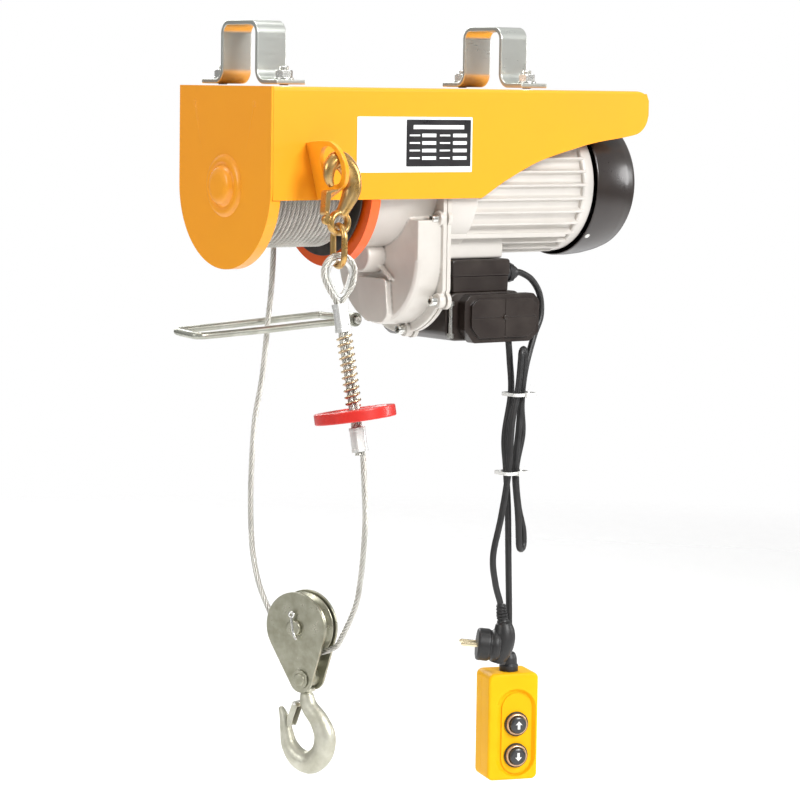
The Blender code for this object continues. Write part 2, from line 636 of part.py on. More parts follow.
def pear(big, small, drop):
    """An outline of two circles and their tangents, as (y, z) about the sheave's axle."""
    lean = math.degrees(math.asin((big - small) / drop))
    return arc((0, 0), big, -lean, 180 + lean, 20) + arc((0, -drop), small, 180 + lean, 360 - lean, 10)


def build_block():
    for side, low in (("front", -13.0), ("rear", 10.0)):
        cheek = prism(f"cheek_{side}", pear(39.0, 15.0, PIN_DROP), low, low + 3.0, "X")
        axle_hole = lathe("hole", rod_profile(low - 3, low + 6, 6.4), 16)
        pin_hole = lathe("hole", rod_profile(low - 3, low + 6, 7.4), 16, centre=(0, 0, -PIN_DROP))
        cut(cheek, axle_hole, pin_hole)
        turned(cheek, block_matrix())
    sheave = lathe("sheave", [(-8, 6.5), (-8, 12), (-5, 14), (-5, 26), (-8, 36.5), (-6.6, 37), (-3.3, 30.6), (-1.6, 29.6),
                              (1.6, 29.6), (3.3, 30.6), (6.6, 37), (8, 36.5), (5, 26), (5, 14), (8, 12), (8, 6.5)], 24)
    turned(sheave, block_matrix())
    axle = lathe("sheave_axle", [(-18, 0), (-18, 9), (-13.4, 9), (-13.4, 6.1), (13.4, 6.1), (13.4, 9), (17, 9), (17, 0)], 16)
    turned(axle, block_matrix())
    cross = lathe("hook_crosshead", [(-17, 0), (-17, 7.0), (-9.6, 7.0), (-9.6, 10.5), (9.6, 10.5), (9.6, 7.0), (17, 7.0), (17, 0)], 16)
    cut(cross, lathe("hole", rod_profile(-30, 30, 5.4), 14, "Z"))
    turned(cross, block_matrix(pin_centre(), 0.0))


def pin_centre():
    return (block_matrix() @ Vector((0, 0, -PIN_DROP * MM))) / MM


def build_load_hook():
    """Hook in the plane of local Y (to the rear side) and Z, hanging plumb under the crosshead."""
    route = [((0, 0, 9.8), 5.0), ((0, 0, -11), 5.0), ((0, 0, -20), 8.0), ((0, -4, -32), 9.6), ((0, -17, -46), 11.0),
             ((0, -25, -63), 12.4), ((0, -21, -82), 12.8), ((0, -6, -94), 12.8), ((0, 11, -91), 11.8),
             ((0, 23, -78), 9.6), ((0, 27.5, -62), 7.4), ((0, 31, -47), 5.4), ((0, 34.5, -39), 3.6)]
    path, radii = hook_path(route, 3)
    hook = sweep("load_hook", path, radii, 8, up=Vector((1, 0, 0)))
    nut = lathe("nut", rod_profile(10.9, 17.0, 9.0), 6, "Z")
    stem = lathe("stem", rod_profile(5.0, 16.0, 4.9), 12, "Z")
    joined(hook, stem, nut)
    place = block_matrix(pin_centre(), 0.0)
    turned(hook, place)
    tongue = [(10.5, -28.0), (14.5, -27.0), (24.0, -42.5), (22.8, -47.5), (19.5, -46.5), (9.5, -32.0)]
    latch = prism("load_latch", tongue, -6.0, 6.0, "X")
    turned(latch, place)


# Pendant, cables and plug


def pendant_matrix():
    turn = Matrix.Rotation(PENDANT_YAW, 4, "Z")
    return Matrix.Translation(PENDANT_CENTRE * MM) @ turn


def rounded(half_x, half_y, radius, count=4):
    corners = [(half_x, half_y, 0), (-half_x, half_y, 90), (-half_x, -half_y, 180), (half_x, -half_y, 270)]
    outline = []
    for x, y, start in corners:
        sx, sy = (1 if x > 0 else -1), (1 if y > 0 else -1)
        outline += arc((x - sx * radius, y - sy * radius), radius, start, start + 90, count)
    return outline


def build_pendant():
    w, d, h = PENDANT_W / 2, PENDANT_D / 2, PENDANT_H / 2
    place = pendant_matrix()
    front = prism("pendant_front", rounded(w, h, 7.0), -d, 3.0, "Y")
    hollow = prism("cutter", rounded(w - 2.5, h - 2.5, 5.0), -d + 3.0, 9.0, "Y")
    holes = [lathe("hole", rod_profile(-d - 5, -d + 9, 10.4), 20, "Y", (BUTTON_X, 0, z)) for _, z in BUTTON_SPOTS]
    neck = lathe("hole", rod_profile(h - 20, h + 9, 7.0), 14, "Z", (0, -4.0, 0))
    cut(front, hollow, *holes, neck)
    turned(front, place)
    back = prism("pendant_back", rounded(w, h, 7.0), 3.3, d, "Y")
    cut(back, prism("cutter", rounded(w - 2.5, h - 2.5, 5.0), -5.0, d - 3.0, "Y"))
    turned(back, place)
    profile = [(-d - 8, 0), (-d - 8, 8.6), (-d - 7, 9.8), (-d + 6, 9.8), (-d + 6, 5), (-d + 8, 5), (-d + 8, 0)]
    for name, z in BUTTON_SPOTS:
        cap = lathe(name, profile, 20, "Y", (BUTTON_X, 0, z))
        turned(cap, place)
    block = box("contact_block", (-13, -d + 16.0, -47), (21, 14, 17))
    turned(block, place)
    gland = lathe("pendant_gland", [(h - 6, 3.0), (h - 6, 6.6), (h + 0.4, 6.6), (h + 0.4, 9.0), (h + 10, 9.0),
                                    (h + 22, 6.0), (h + 22, CABLE_D / 2 + 0.3), (h - 2, CABLE_D / 2 + 0.3), (h - 2, 3.0)],
                  16, "Z", (0, -4.0, 0))
    turned(gland, place)


def build_cables():
    top = pendant_matrix() @ Vector((0, -4.0 * MM, (PENDANT_H / 2 + 1) * MM)) / MM
    control = [(146.6, -58.0, -348.9), (148.5, -58.5, -370.0), (150.0, -60.0, -407.7), (141.0, -61.0, -456.3),
               (144.0, -61.0, -494.3), (148.5, -60.0, -540.0), (151.0, -59.5, -599.3), (153.8, top.y, -660.0),
               (top.x, top.y, -700.0), tuple(top)]
    sweep("control_cable", smooth_route(control, 3), CABLE_D / 2, 6)
    power = [(169.2, -40.0, -272.0), (177.0, -41.0, -273.0), (190.0, -44.0, -281.0), (200.0, -46.5, -298.0),
             (200.5, -48.5, -322.0), (188.5, -51.5, -345.0), (170.0, -60.0, -382.3), (164.0, -62.0, -420.0),
             (166.0, -62.0, -455.0), (157.0, -63.0, -495.0), (160.0, -64.0, -535.0), (167.5, -65.0, -565.0),
             (166.0, -66.5, -588.0), (158.0, -70.0, -578.0), (153.0, -73.0, -545.0), (148.0, -72.5, -495.0),
             (152.0, -72.5, -450.0), (156.0, -72.0, -410.0), (160.5, -71.0, -372.0), (157.0, -74.0, -357.0),
             (150.5, -77.0, -366.0), (146.0, -78.0, -400.0), (138.0, -78.0, -440.0), (134.0, -78.0, -495.0),
             (126.5, -76.0, -545.0), (118.5, -72.5, -590.0), (123.0, -71.5, -622.0), (131.7, -70.4, -646.0)]
    sweep("power_cable", smooth_route(power, 2), CABLE_D / 2, 6)


def build_ties():
    upper = ("cable_tie_upper", 154.3, -69.2, -408.0, 15.2, 13.7)
    lower = ("cable_tie_lower", 145.5, -69.6, -497.0, 16.0, 12.9)
    for name, x, y, z, half_x, half_y in (upper, lower):
        band = prism(name, rounded(half_x + 1.3, half_y + 1.3, 6.0, 3), -2.0, 2.0)
        cut(band, prism("cutter", rounded(half_x, half_y, 4.7, 3), -5, 5))
        moved(band, x, y, z)


def build_plug():
    """Angled mains plug: the cable enters from above, the pins point to the left."""
    body = lathe("plug", [(-22, 0), (-22, 17.5), (-20, 18.5), (-6, 18.5), (2, 15.5), (14, 12), (17, 8), (17, 0)], 18)
    relief = sweep("relief", [(8, 0, 0), (6, 0, 16), (0, 0, 46)], [8.5, 7.0, 5.5], 12)
    pins = [lathe("pin", rod_profile(-41, -18, 2.4, 0.8), 10, centre=(0, y, 0)) for y in (-9.5, 9.5)]
    joined(body, relief, *pins)
    cut(body, sweep("bore", [(0.4, 0, 44), (-1.0, 0, 54)], CABLE_D / 2 + 0.4, 12))
    turned(body, Matrix.Rotation(math.radians(6), 4, "Y"))
    turned(body, Matrix.Rotation(math.radians(-32), 4, "Z"))
    moved(body, 128.0, -68.0, -695.0)


clear_scene()
build_frame()
build_end_plates()
build_bracket()
build_straps()
build_drum()
build_gears()
build_housing()
build_cover_screws()
build_motor()
build_fan()
build_electrics()
build_lever()
build_anchor_hook()
build_link()
build_anchor_fittings()
build_rope()
build_block()
build_load_hook()
build_pendant()
build_cables()
build_ties()
build_plug()
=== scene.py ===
"""Looks of the electric wire rope hoist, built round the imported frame.

Sizes below are in millimetres, and the scene is in metres. +X runs along the drum and motor axis to the
fan cover, -Y is the front, +Z is up.
"""

import json
import math

import bmesh
import bpy
from mathutils import Matrix, Vector


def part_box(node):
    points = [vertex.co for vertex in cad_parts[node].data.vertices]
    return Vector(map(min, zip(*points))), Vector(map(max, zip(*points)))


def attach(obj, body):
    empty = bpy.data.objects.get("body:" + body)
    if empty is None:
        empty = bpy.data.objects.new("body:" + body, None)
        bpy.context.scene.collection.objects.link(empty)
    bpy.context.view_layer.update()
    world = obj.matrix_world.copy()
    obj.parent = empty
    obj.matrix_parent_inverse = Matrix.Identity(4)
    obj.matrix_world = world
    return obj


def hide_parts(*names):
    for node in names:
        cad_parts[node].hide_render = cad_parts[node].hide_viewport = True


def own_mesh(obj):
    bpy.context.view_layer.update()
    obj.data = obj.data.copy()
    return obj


MM = 0.001
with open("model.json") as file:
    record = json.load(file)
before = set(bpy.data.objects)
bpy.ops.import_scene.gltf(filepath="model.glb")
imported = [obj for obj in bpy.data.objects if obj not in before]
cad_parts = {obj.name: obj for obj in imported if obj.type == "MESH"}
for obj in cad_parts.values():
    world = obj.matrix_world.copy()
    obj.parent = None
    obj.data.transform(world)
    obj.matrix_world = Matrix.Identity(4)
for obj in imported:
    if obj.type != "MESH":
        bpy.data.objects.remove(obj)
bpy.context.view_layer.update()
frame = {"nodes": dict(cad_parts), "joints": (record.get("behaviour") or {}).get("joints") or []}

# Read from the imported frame
FRAME_LOW, FRAME_HIGH = [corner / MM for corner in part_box("frame_channel")]
SHAFT_SEAT = (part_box("end_plate_left")[0] / MM).x + 6.5
FRAME_TOP = FRAME_HIGH.z
HALF_DEPTH = FRAME_HIGH.y
SKIRT_BOTTOM = FRAME_LOW.z
JOINTS = {joint["name"]: joint for joint in frame["joints"]}


def joint_point(name):
    return Vector(JOINTS[name]["pos_m"]) / MM


DRUM_Z = joint_point("drum_spin").z
LAYSHAFT_Z = joint_point("layshaft_spin").z
DRUM_CENTRE = (0, 0, DRUM_Z)
LAYSHAFT_CENTRE = (0, 0, LAYSHAFT_Z)
BLOCK_CENTRE = joint_point("sheave_spin")
HOOK_PIN = joint_point("hook_swivel")
BLOCK_AXIS = Vector(JOINTS["sheave_spin"]["axis"]).normalized()
BLOCK_SIDE = Vector((BLOCK_AXIS.y, -BLOCK_AXIS.x, 0))
LINE = -Vector(JOINTS["disc_slide"]["axis"]).normalized()

# Set here: the sizes that the CAD has too, and how the rope is laid
SHEET = 3
PLATE_SHEET = 2.5
RIM_START = 188.7  # degrees round the drum axis, where the end plates' rims meet the skirt
BLOCK_ROLL = math.radians(-7.7)
PIN_DROP = 57
STRAP_X = 165
STRAP_WIDTH = 37
BOLT_Y = 59.5
ROPE_D = 5.6
STRANDS = 6
POINTS_PER_STRAND = 5
ROPE_LAY = 38
FREE_ROPE_SHARE = 1.16  # the strands' outline against the rope's measured diameter
TURN_SHARE = 0.92  # thinner on the drum, so that the turns stand apart
CABLE_D = 7.4
UPPER_FERRULE = Vector((-141.7, -138, -307))
EYE_WIDE = Vector((0.99, -0.145, 0)).normalized()
EYE_CENTRE = Vector((-143.8, -135.6, -259))
LINE_SIDE = (EYE_WIDE - LINE * EYE_WIDE.dot(LINE)).normalized()
PENDANT_CENTRE = Vector((156, -55, -790))
PENDANT_YAW = math.radians(-18.4)
PENDANT_W, PENDANT_D, PENDANT_H = 60, 46, 124
BUTTON_X = 4
BUTTON_SPOTS = (("up", 3), ("down", -33.5))
FLOOR_TOP = -1010
CAMERA_TURN = (36.401, 5.933, 0.809)  # heading, pitch and roll in degrees
CAMERA_PLACE = (-1.95759, -2.70642, -0.06613)  # in metres
CAMERA_LENS = 134.69


# Shapes


def solid(name, points, faces):
    """A mesh object from points in millimetres, its normals turned outward."""
    mesh = bpy.data.meshes.new(name)
    mesh.from_pydata([Vector(p) * MM for p in points], [], faces)
    work = bmesh.new()
    work.from_mesh(mesh)
    bmesh.ops.recalc_face_normals(work, faces=work.faces)
    work.to_mesh(mesh)
    work.free()
    obj = bpy.data.objects.new(name, mesh)
    bpy.context.scene.collection.objects.link(obj)
    return obj


def turned(obj, matrix):
    obj.data.transform(matrix)
    if matrix.determinant() < 0:
        obj.data.flip_normals()
    return obj


def moved(obj, x, y, z):
    return turned(obj, Matrix.Translation(Vector((x, y, z)) * MM))


def spun(obj, degrees, axis, centre=(0, 0, 0)):
    """Turns the mesh about an axis through `centre`."""
    place = Matrix.Translation(Vector(centre) * MM)
    return turned(obj, place @ Matrix.Rotation(math.radians(degrees), 4, axis) @ place.inverted())


def frame_matrix(origin, x_axis, y_axis, z_axis):
    rows = Matrix((x_axis, y_axis, z_axis)).transposed().to_4x4()
    return Matrix.Translation(Vector(origin) * MM) @ rows


STRAIGHT = math.radians(174)  # a corner wider than this stays as it is


def softened(points, radius, count=4):
    """Rounds an outline's corners with short Bezier bends. Points on the axis stay."""
    result = []
    for i, point in enumerate(points):
        here = Vector(point)
        before = Vector(points[i - 1]) - here
        after = Vector(points[(i + 1) % len(points)]) - here
        short = before.length < 1e-6 or after.length < 1e-6
        if short or before.angle(after) > STRAIGHT or abs(point[1]) < 1e-9:
            result.append(tuple(here))
            continue
        start = here + before.normalized() * min(radius, before.length * 0.45)
        end = here + after.normalized() * min(radius, after.length * 0.45)
        for k in range(count + 1):
            t = k / count
            result.append(tuple(start.lerp(here, t).lerp(here.lerp(end, t), t)))
    return result


def prism(name, outline, low, high, axis="Z"):
    """Extrudes a closed outline. Axis Z takes (x, y), axis X takes (y, z), axis Y takes (x, z)."""
    place = {
        "Z": lambda a, b, c: (a, b, c),
        "X": lambda a, b, c: (c, a, b),
        "Y": lambda a, b, c: (a, c, b),
    }[axis]
    count = len(outline)
    points = [place(a, b, low) for a, b in outline] + [place(a, b, high) for a, b in outline]
    faces = [list(range(count)), list(range(count, 2 * count))]
    for i in range(count):
        j = (i + 1) % count
        faces.append([i, j, count + j, count + i])
    return solid(name, points, faces)


def rectangle(left, low, right, high):
    return [(left, low), (right, low), (right, high), (left, high)]


def box(name, low, high):
    return prism(name, rectangle(low[0], low[1], high[0], high[1]), low[2], high[2])


def lathe(name, profile, steps=64, axis="X", centre=(0, 0, 0), soft=0):
    """Turns a closed profile of (along, radius) about an axis. A radius of zero closes on the axis."""
    if soft:
        profile = softened(profile, soft)
    points, rings = [], []
    for along, radius in profile:
        if radius < 1e-6:
            ring = [len(points)] * steps
            points.append((along, 0, 0))
        else:
            ring = list(range(len(points), len(points) + steps))
            for i in range(steps):
                angle = 2 * math.pi * i / steps
                points.append((along, radius * math.cos(angle), radius * math.sin(angle)))
        rings.append(ring)
    faces = []
    for k, ring in enumerate(rings):
        after = rings[(k + 1) % len(rings)]
        for i in range(steps):
            j = (i + 1) % steps
            face = list(dict.fromkeys((ring[i], ring[j], after[j], after[i])))
            if len(face) > 2:
                faces.append(face)
    obj = solid(name, points, faces)
    if axis == "Y":
        turned(obj, Matrix.Rotation(math.radians(90), 4, "Z"))
    if axis == "Z":
        turned(obj, Matrix.Rotation(math.radians(-90), 4, "Y"))
    return moved(obj, *centre)


def tube(name, low, high, inner, outer, steps=32, axis="X", centre=(0, 0, 0), soft=0):
    profile = [(low, inner), (low, outer), (high, outer), (high, inner)]
    return lathe(name, profile, steps, axis, centre, soft)


def rod(name, low, high, radius, steps=32, axis="X", centre=(0, 0, 0), soft=0):
    return tube(name, low, high, 0, radius, steps, axis, centre, soft)


def smooth_route(route, per_span=6):
    """A Catmull-Rom curve through the route points."""
    route = [Vector(p) for p in route]
    padded = [2 * route[0] - route[1]] + route + [2 * route[-1] - route[-2]]
    points = []
    for k in range(len(route) - 1):
        a, b, c, d = padded[k : k + 4]
        for i in range(per_span):
            t = i / per_span
            square = (2 * a - 5 * b + 4 * c - d) * t**2
            points.append(0.5 * (2 * b + (c - a) * t + square + (3 * b - a - 3 * c + d) * t**3))
    return points + [route[-1]]


def even_route(path, step):
    """The same line with points `step` apart."""
    lengths = [0]
    for a, b in zip(path, path[1:]):
        lengths.append(lengths[-1] + (b - a).length)
    count = max(2, round(lengths[-1] / step))
    points, k = [], 0
    for i in range(count + 1):
        target = lengths[-1] * i / count
        while k < len(path) - 2 and lengths[k + 1] < target:
            k += 1
        span = max(lengths[k + 1] - lengths[k], 1e-9)
        points.append(path[k].lerp(path[k + 1], (target - lengths[k]) / span))
    return points


def carried_frames(path, closed=False, up=None):
    """(point, tangent, normal, binormal) along a path, with the normal carried on without twist."""
    count = len(path)
    normal = up or Vector((0, 0, 1))
    frames = []
    for i, here in enumerate(path):
        before = path[i - 1] if closed or i else path[0]
        after = path[(i + 1) % count] if closed or i < count - 1 else path[-1]
        tangent = (after - before).normalized()
        if i == 0 and abs(normal.dot(tangent)) > 0.95:
            normal = Vector((1, 0, 0))
        normal = (normal - tangent * normal.dot(tangent)).normalized()
        frames.append((here, tangent, normal, tangent.cross(normal)))
    return frames


def sweep(name, path, radii, sides=20, closed=False, up=None, shape=None):
    """A tube along a path.

    `radii` is one radius, or one for each point. `shape` gives (across, out) at an angle.
    """
    path = [Vector(p) for p in path]
    count = len(path)
    if not isinstance(radii, (list, tuple)):
        radii = [radii] * count
    shape = shape or (lambda angle: (math.cos(angle), math.sin(angle)))
    section = [shape(2 * math.pi * k / sides) for k in range(sides)]
    points, faces = [], []
    for (here, _, normal, binormal), radius in zip(carried_frames(path, closed, up), radii):
        points += [here + radius * (a * normal + b * binormal) for a, b in section]
    for i in range(count if closed else count - 1):
        j = (i + 1) % count
        for k in range(sides):
            m = (k + 1) % sides
            faces.append([i * sides + k, i * sides + m, j * sides + m, j * sides + k])
    if not closed:
        faces.append(list(range(sides)))
        faces.append(list(range((count - 1) * sides, count * sides)))
    return solid(name, points, faces)


def strand_radius(angle):
    """A rope's outline at this angle: the radius, as a share of the rope's diameter."""
    part = 2 * math.pi / STRANDS
    off = (angle % part) - part / 2
    return math.cos(off) / 3 + math.sqrt(max(0, 1 / 36 - (math.sin(off) / 3) ** 2))


def laid_rope(name, path, diameter):
    """A stranded rope along a path. Its UV map runs round each strand and along the rope, for the wires."""
    sides = STRANDS * POINTS_PER_STRAND
    points, faces, turns, along = [], [], [], [0]
    for a, b in zip(path, path[1:]):
        along.append(along[-1] + (b - a).length)
    for (here, _, normal, binormal), run in zip(carried_frames(path), along):
        twist = 2 * math.pi * run / ROPE_LAY
        for k in range(sides):
            angle = 2 * math.pi * k / sides
            radius = diameter * strand_radius(angle)
            turn = angle + twist
            points.append(here + radius * (math.cos(turn) * normal + math.sin(turn) * binormal))
    for i in range(len(path) - 1):
        for k in range(sides):
            m = (k + 1) % sides
            faces.append([i * sides + k, i * sides + m, (i + 1) * sides + m, (i + 1) * sides + k])
            turns.append([(k, i), (k + 1, i), (k + 1, i + 1), (k, i + 1)])
    faces += [list(range(sides)), list(range((len(path) - 1) * sides, len(path) * sides))]
    mesh = bpy.data.meshes.new(name)
    mesh.from_pydata([p * MM for p in points], [], faces)
    layer = mesh.uv_layers.new(name="strands")
    for face, corners in zip(mesh.polygons, turns):
        for loop, (k, i) in zip(face.loop_indices, corners):
            layer.data[loop].uv = (k / POINTS_PER_STRAND, along[i] / ROPE_LAY)
    obj = bpy.data.objects.new(name, mesh)
    bpy.context.scene.collection.objects.link(obj)
    mesh.flip_normals()
    return obj


def applied(obj):
    graph = bpy.context.evaluated_depsgraph_get()
    mesh = bpy.data.meshes.new_from_object(obj.evaluated_get(graph))
    mesh.name = obj.name
    obj.modifiers.clear()
    obj.data = mesh
    return obj


def combined(obj, others, operation):
    for other in others:
        modifier = obj.modifiers.new("combine", "BOOLEAN")
        modifier.solver = "EXACT"
        modifier.operation = operation
        modifier.object = other
        applied(obj)
        bpy.data.objects.remove(other)
    return obj


def cut(obj, *others):
    return combined(obj, others, "DIFFERENCE")


def joined(obj, *others):
    return combined(obj, others, "UNION")


def grouped(obj, *others):
    """Puts the meshes of several objects into one, without a Boolean."""
    work = bmesh.new()
    for part in (obj, *others):
        work.from_mesh(part.data)
    work.to_mesh(obj.data)
    work.free()
    for other in others:
        bpy.data.objects.remove(other)
    return obj


def folded(obj, test, width, segments=5):
    """Rounds the edges whose two ends both pass `test`, which takes a point in millimetres."""
    work = bmesh.new()
    work.from_mesh(obj.data)
    edges = [e for e in work.edges if all(test(v.co / MM) for v in e.verts) and e.calc_length() > 20 * MM]
    bmesh.ops.bevel(work, geom=edges, offset=width * MM, segments=segments, profile=0.5, affect="EDGES")
    work.to_mesh(obj.data)
    work.free()
    return obj


def cast(obj, voxel, smoothing=6):
    """Remeshes a joined shape, so that its inner corners get the fillets of a casting."""
    remesh = obj.modifiers.new("remesh", "REMESH")
    remesh.mode = "VOXEL"
    remesh.voxel_size = voxel * MM
    smooth = obj.modifiers.new("smooth", "SMOOTH")
    smooth.factor = 0.5
    smooth.iterations = smoothing
    return applied(obj)


def piece(obj, material, body="frame", nodes=(), bevel=0, segments=3, sharp=38):
    """Finishes one visible piece: rounds its edges, shades it, and rides it on its body."""
    if bevel:
        edge = obj.modifiers.new("edge", "BEVEL")
        edge.width = bevel * MM
        edge.segments = segments
        edge.limit_method = "ANGLE"
        edge.angle_limit = math.radians(sharp)
        edge.harden_normals = False
        applied(obj)
    obj.data.shade_smooth()
    obj.data.set_sharp_from_angle(angle=math.radians(sharp))
    weigh = obj.modifiers.new("weigh", "WEIGHTED_NORMAL")
    weigh.keep_sharp = True
    applied(obj)
    obj.data.materials.clear()
    obj.data.materials.append(material)
    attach(obj, body)
    if nodes:
        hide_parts(*nodes)
    return obj


def arc(centre, radius, start, end, count):
    angles = [math.radians(start + (end - start) * i / count) for i in range(count + 1)]
    return [(centre[0] + radius * math.cos(a), centre[1] + radius * math.sin(a)) for a in angles]


def stadium(half_long, radius, count=10):
    right = arc((half_long - radius, 0), radius, -90, 90, count)
    return right + arc((radius - half_long, 0), radius, 90, 270, count)


def rounded(half_x, half_y, radius, count=6):
    outline = []
    for sx, sy, start in ((1, 1, 0), (-1, 1, 90), (-1, -1, 180), (1, -1, 270)):
        outline += arc((sx * (half_x - radius), sy * (half_y - radius)), radius, start, start + 90, count)
    return outline


# Materials


class Nodes:
    """A short way to write a node tree."""

    def __init__(self, name):
        self.material = bpy.data.materials.new(name)
        self.material.use_nodes = True
        self.tree = self.material.node_tree
        self.shader = self.tree.nodes["Principled BSDF"]

    def add(self, kind, settings=None, **inputs):
        node = self.tree.nodes.new(kind)
        for key, value in (settings or {}).items():
            setattr(node, key, value)
        for key, value in inputs.items():
            self.feed(node, key.replace("_", " "), value)
        return node

    def feed(self, node, socket, value):
        socket = node.inputs[int(socket)] if socket.isdigit() else node.inputs[socket]
        if isinstance(value, bpy.types.NodeSocket):
            self.tree.links.new(value, socket)
        else:
            socket.default_value = value

    def noise(self, where, scale, detail=4):
        node = self.add("ShaderNodeTexNoise", Vector=where, Scale=scale, Detail=detail, Roughness=0.55)
        return node.outputs[0]

    def ranged(self, value, low, high, to_low=0, to_high=1):
        node = self.add("ShaderNodeMapRange")
        for index, number in enumerate((value, low, high, to_low, to_high)):
            self.feed(node, str(index), number)
        return node.outputs[0]

    def mixed(self, factor, first, second):
        node = self.add("ShaderNodeMix", {"data_type": "RGBA"})
        for socket, value in ((0, factor), (6, first), (7, second)):
            self.feed(node, str(socket), value)
        return node.outputs[2]

    def maths(self, operation, *values):
        node = self.add("ShaderNodeMath", {"operation": operation})
        for index, value in enumerate(values):
            self.feed(node, str(index), value)
        return node.outputs[0]

    def bump(self, height, strength, distance):
        return self.add("ShaderNodeBump", Strength=strength, Distance=distance, Height=height).outputs[0]


def surface(name, base, other, roughness, metallic=0, mottle=30, spread=0.08, grain=900, bump=0.12,
            depth=0.0002, wear=None, worn_from=0.53, coat=0, crevice_shade=None, stretch=None):
    """A finish with colour that drifts between two tones, uneven gloss and a fine grain.

    `wear` is the colour of worn edges. The colour for corners and hollows is painted shade, laid where the
    surface curves inward.
    """
    n = Nodes(name)
    where = n.add("ShaderNodeTexCoord").outputs["Object"]
    grain_at = where
    if stretch:
        grain_at = n.add("ShaderNodeMapping", Vector=where, Scale=stretch).outputs[0]
    cloud = n.noise(where, mottle, 5)
    colour = n.mixed(n.ranged(cloud, 0.35, 0.68), (*base, 1), (*other, 1))
    fine = n.noise(grain_at, grain, 3)
    pointiness = n.add("ShaderNodeNewGeometry").outputs["Pointiness"]
    if wear:
        scratch = n.ranged(n.noise(where, 160, 6), 0.42, 0.62)
        edge = n.maths("MULTIPLY", n.ranged(pointiness, worn_from, worn_from + 0.05), scratch)
        colour = n.mixed(edge, colour, (*wear, 1))
    # painted shade: darkens the surface where it curves inward, in corners and hollows
    if crevice_shade:
        colour = n.mixed(n.ranged(pointiness, 0.485, 0.44), colour, (*crevice_shade, 1))
    n.feed(n.shader, "Base Color", colour)
    uneven = n.maths("ADD", n.maths("MULTIPLY", cloud, 0.6), n.maths("MULTIPLY", fine, 0.4))
    n.feed(n.shader, "Roughness", n.ranged(uneven, 0.3, 0.7, roughness - spread, roughness + spread))
    n.shader.inputs["Metallic"].default_value = metallic
    n.shader.inputs["Coat Weight"].default_value = coat
    n.shader.inputs["Coat Roughness"].default_value = 0.12
    n.feed(n.shader, "Normal", n.bump(fine, bump, depth))
    return n.material


def rope_material(name, bright, dark, roughness=0.38):
    """Wires lying in each strand, from the rope's UV map, with painted shade in the grooves between wires and
    between strands.
    """
    n = Nodes(name)
    where = n.add("ShaderNodeTexCoord")
    run = n.add("ShaderNodeSeparateXYZ", Vector=where.outputs["UV"])
    wires_round, wires_along = 7, 9
    crossing = n.maths("MULTIPLY", run.outputs[0], wires_round)
    phase = n.maths("ADD", crossing, n.maths("MULTIPLY", run.outputs[1], wires_along))
    wave = n.maths("ABSOLUTE", n.maths("SINE", n.maths("MULTIPLY", phase, math.pi)))
    cloud = n.noise(where.outputs["Object"], 45, 5)
    valley = n.maths("ABSOLUTE", n.maths("SINE", n.maths("MULTIPLY", run.outputs[0], math.pi)))
    colour = n.mixed(n.ranged(cloud, 0.35, 0.7), (*bright, 1), tuple(0.72 * c for c in bright) + (1,))
    # painted shade in the grooves between the wires
    colour = n.mixed(n.ranged(wave, 0.5, 0.05), colour, (*dark, 1))
    # painted shade in the gaps between the strands
    colour = n.mixed(n.ranged(valley, 0.45, 0), colour, (*dark, 1))
    n.feed(n.shader, "Base Color", colour)
    n.shader.inputs["Metallic"].default_value = 0.85
    n.feed(n.shader, "Roughness", n.ranged(cloud, 0.3, 0.7, roughness - 0.08, roughness + 0.1))
    n.feed(n.shader, "Normal", n.bump(wave, 0.6, 0.0004))
    return n.material


# The corner colours given below are painted shade, laid in hollows.
YELLOW = surface("yellow_powder_coat", (0.92, 0.362, 0.012), (0.9, 0.335, 0.01), 0.34, mottle=5,
                 spread=0.05, grain=420, bump=0.08, depth=0.0004, coat=0.2)
ORANGE = surface("orange_powder_coat", (0.92, 0.13, 0.004), (0.84, 0.1, 0.003), 0.34, mottle=8, spread=0.05,
                 grain=420, bump=0.08, depth=0.0004, coat=0.25)
STRAP_ZINC = surface("strap_zinc", (0.74, 0.76, 0.72), (0.62, 0.645, 0.6), 0.3, 0.92, 14, 0.05, 200, 0.03,
                     0.0002, stretch=(0.3, 3, 3))
BOLT_ZINC = surface("bolt_zinc", (0.8, 0.8, 0.77), (0.58, 0.57, 0.53), 0.27, 1, 90, 0.08, 900, 0.1,
                    crevice_shade=(0.22, 0.2, 0.17))
BLOCK_ZINC = surface("block_zinc", (0.43, 0.42, 0.335), (0.3, 0.295, 0.22), 0.33, 0.92, 70, 0.11, 350, 0.22,
                     0.0004, wear=(0.8, 0.79, 0.74), worn_from=0.55, crevice_shade=(0.16, 0.15, 0.12))
HOOK_ZINC = surface("hook_zinc", (0.6, 0.59, 0.5), (0.44, 0.43, 0.345), 0.46, 0.85, 55, 0.12, 260, 0.45,
                    0.0009, wear=(0.84, 0.83, 0.78), worn_from=0.55, crevice_shade=(0.18, 0.165, 0.13))
LEVER_ZINC = surface("lever_zinc", (0.46, 0.465, 0.41), (0.33, 0.335, 0.28), 0.36, 0.9, 60, 0.1, 700, 0.15,
                     stretch=(0.3, 4, 4))
GOLD = surface("yellow_chromate", (0.62, 0.36, 0.1), (0.46, 0.33, 0.16), 0.3, 0.92, 75, 0.09, 420, 0.16,
               0.0003, wear=(0.85, 0.68, 0.38), worn_from=0.55, crevice_shade=(0.16, 0.085, 0.03))
CASTING = surface("cast_aluminium", (0.66, 0.63, 0.585), (0.59, 0.56, 0.515), 0.44, 0.22, 16, 0.06, 1300,
                  0.22, 0.0003, crevice_shade=(0.2, 0.185, 0.165))
MOTOR_PAINT = surface("motor_silver", (0.66, 0.63, 0.59), (0.6, 0.57, 0.53), 0.4, 0.25, 14, 0.05, 900, 0.12,
                      crevice_shade=(0.22, 0.205, 0.185))
BLACK = surface("brown_black_plastic", (0.016, 0.01, 0.008), (0.026, 0.018, 0.014), 0.36, 0, 35, 0.07, 1500,
                0.16, 0.0002, coat=0.18)
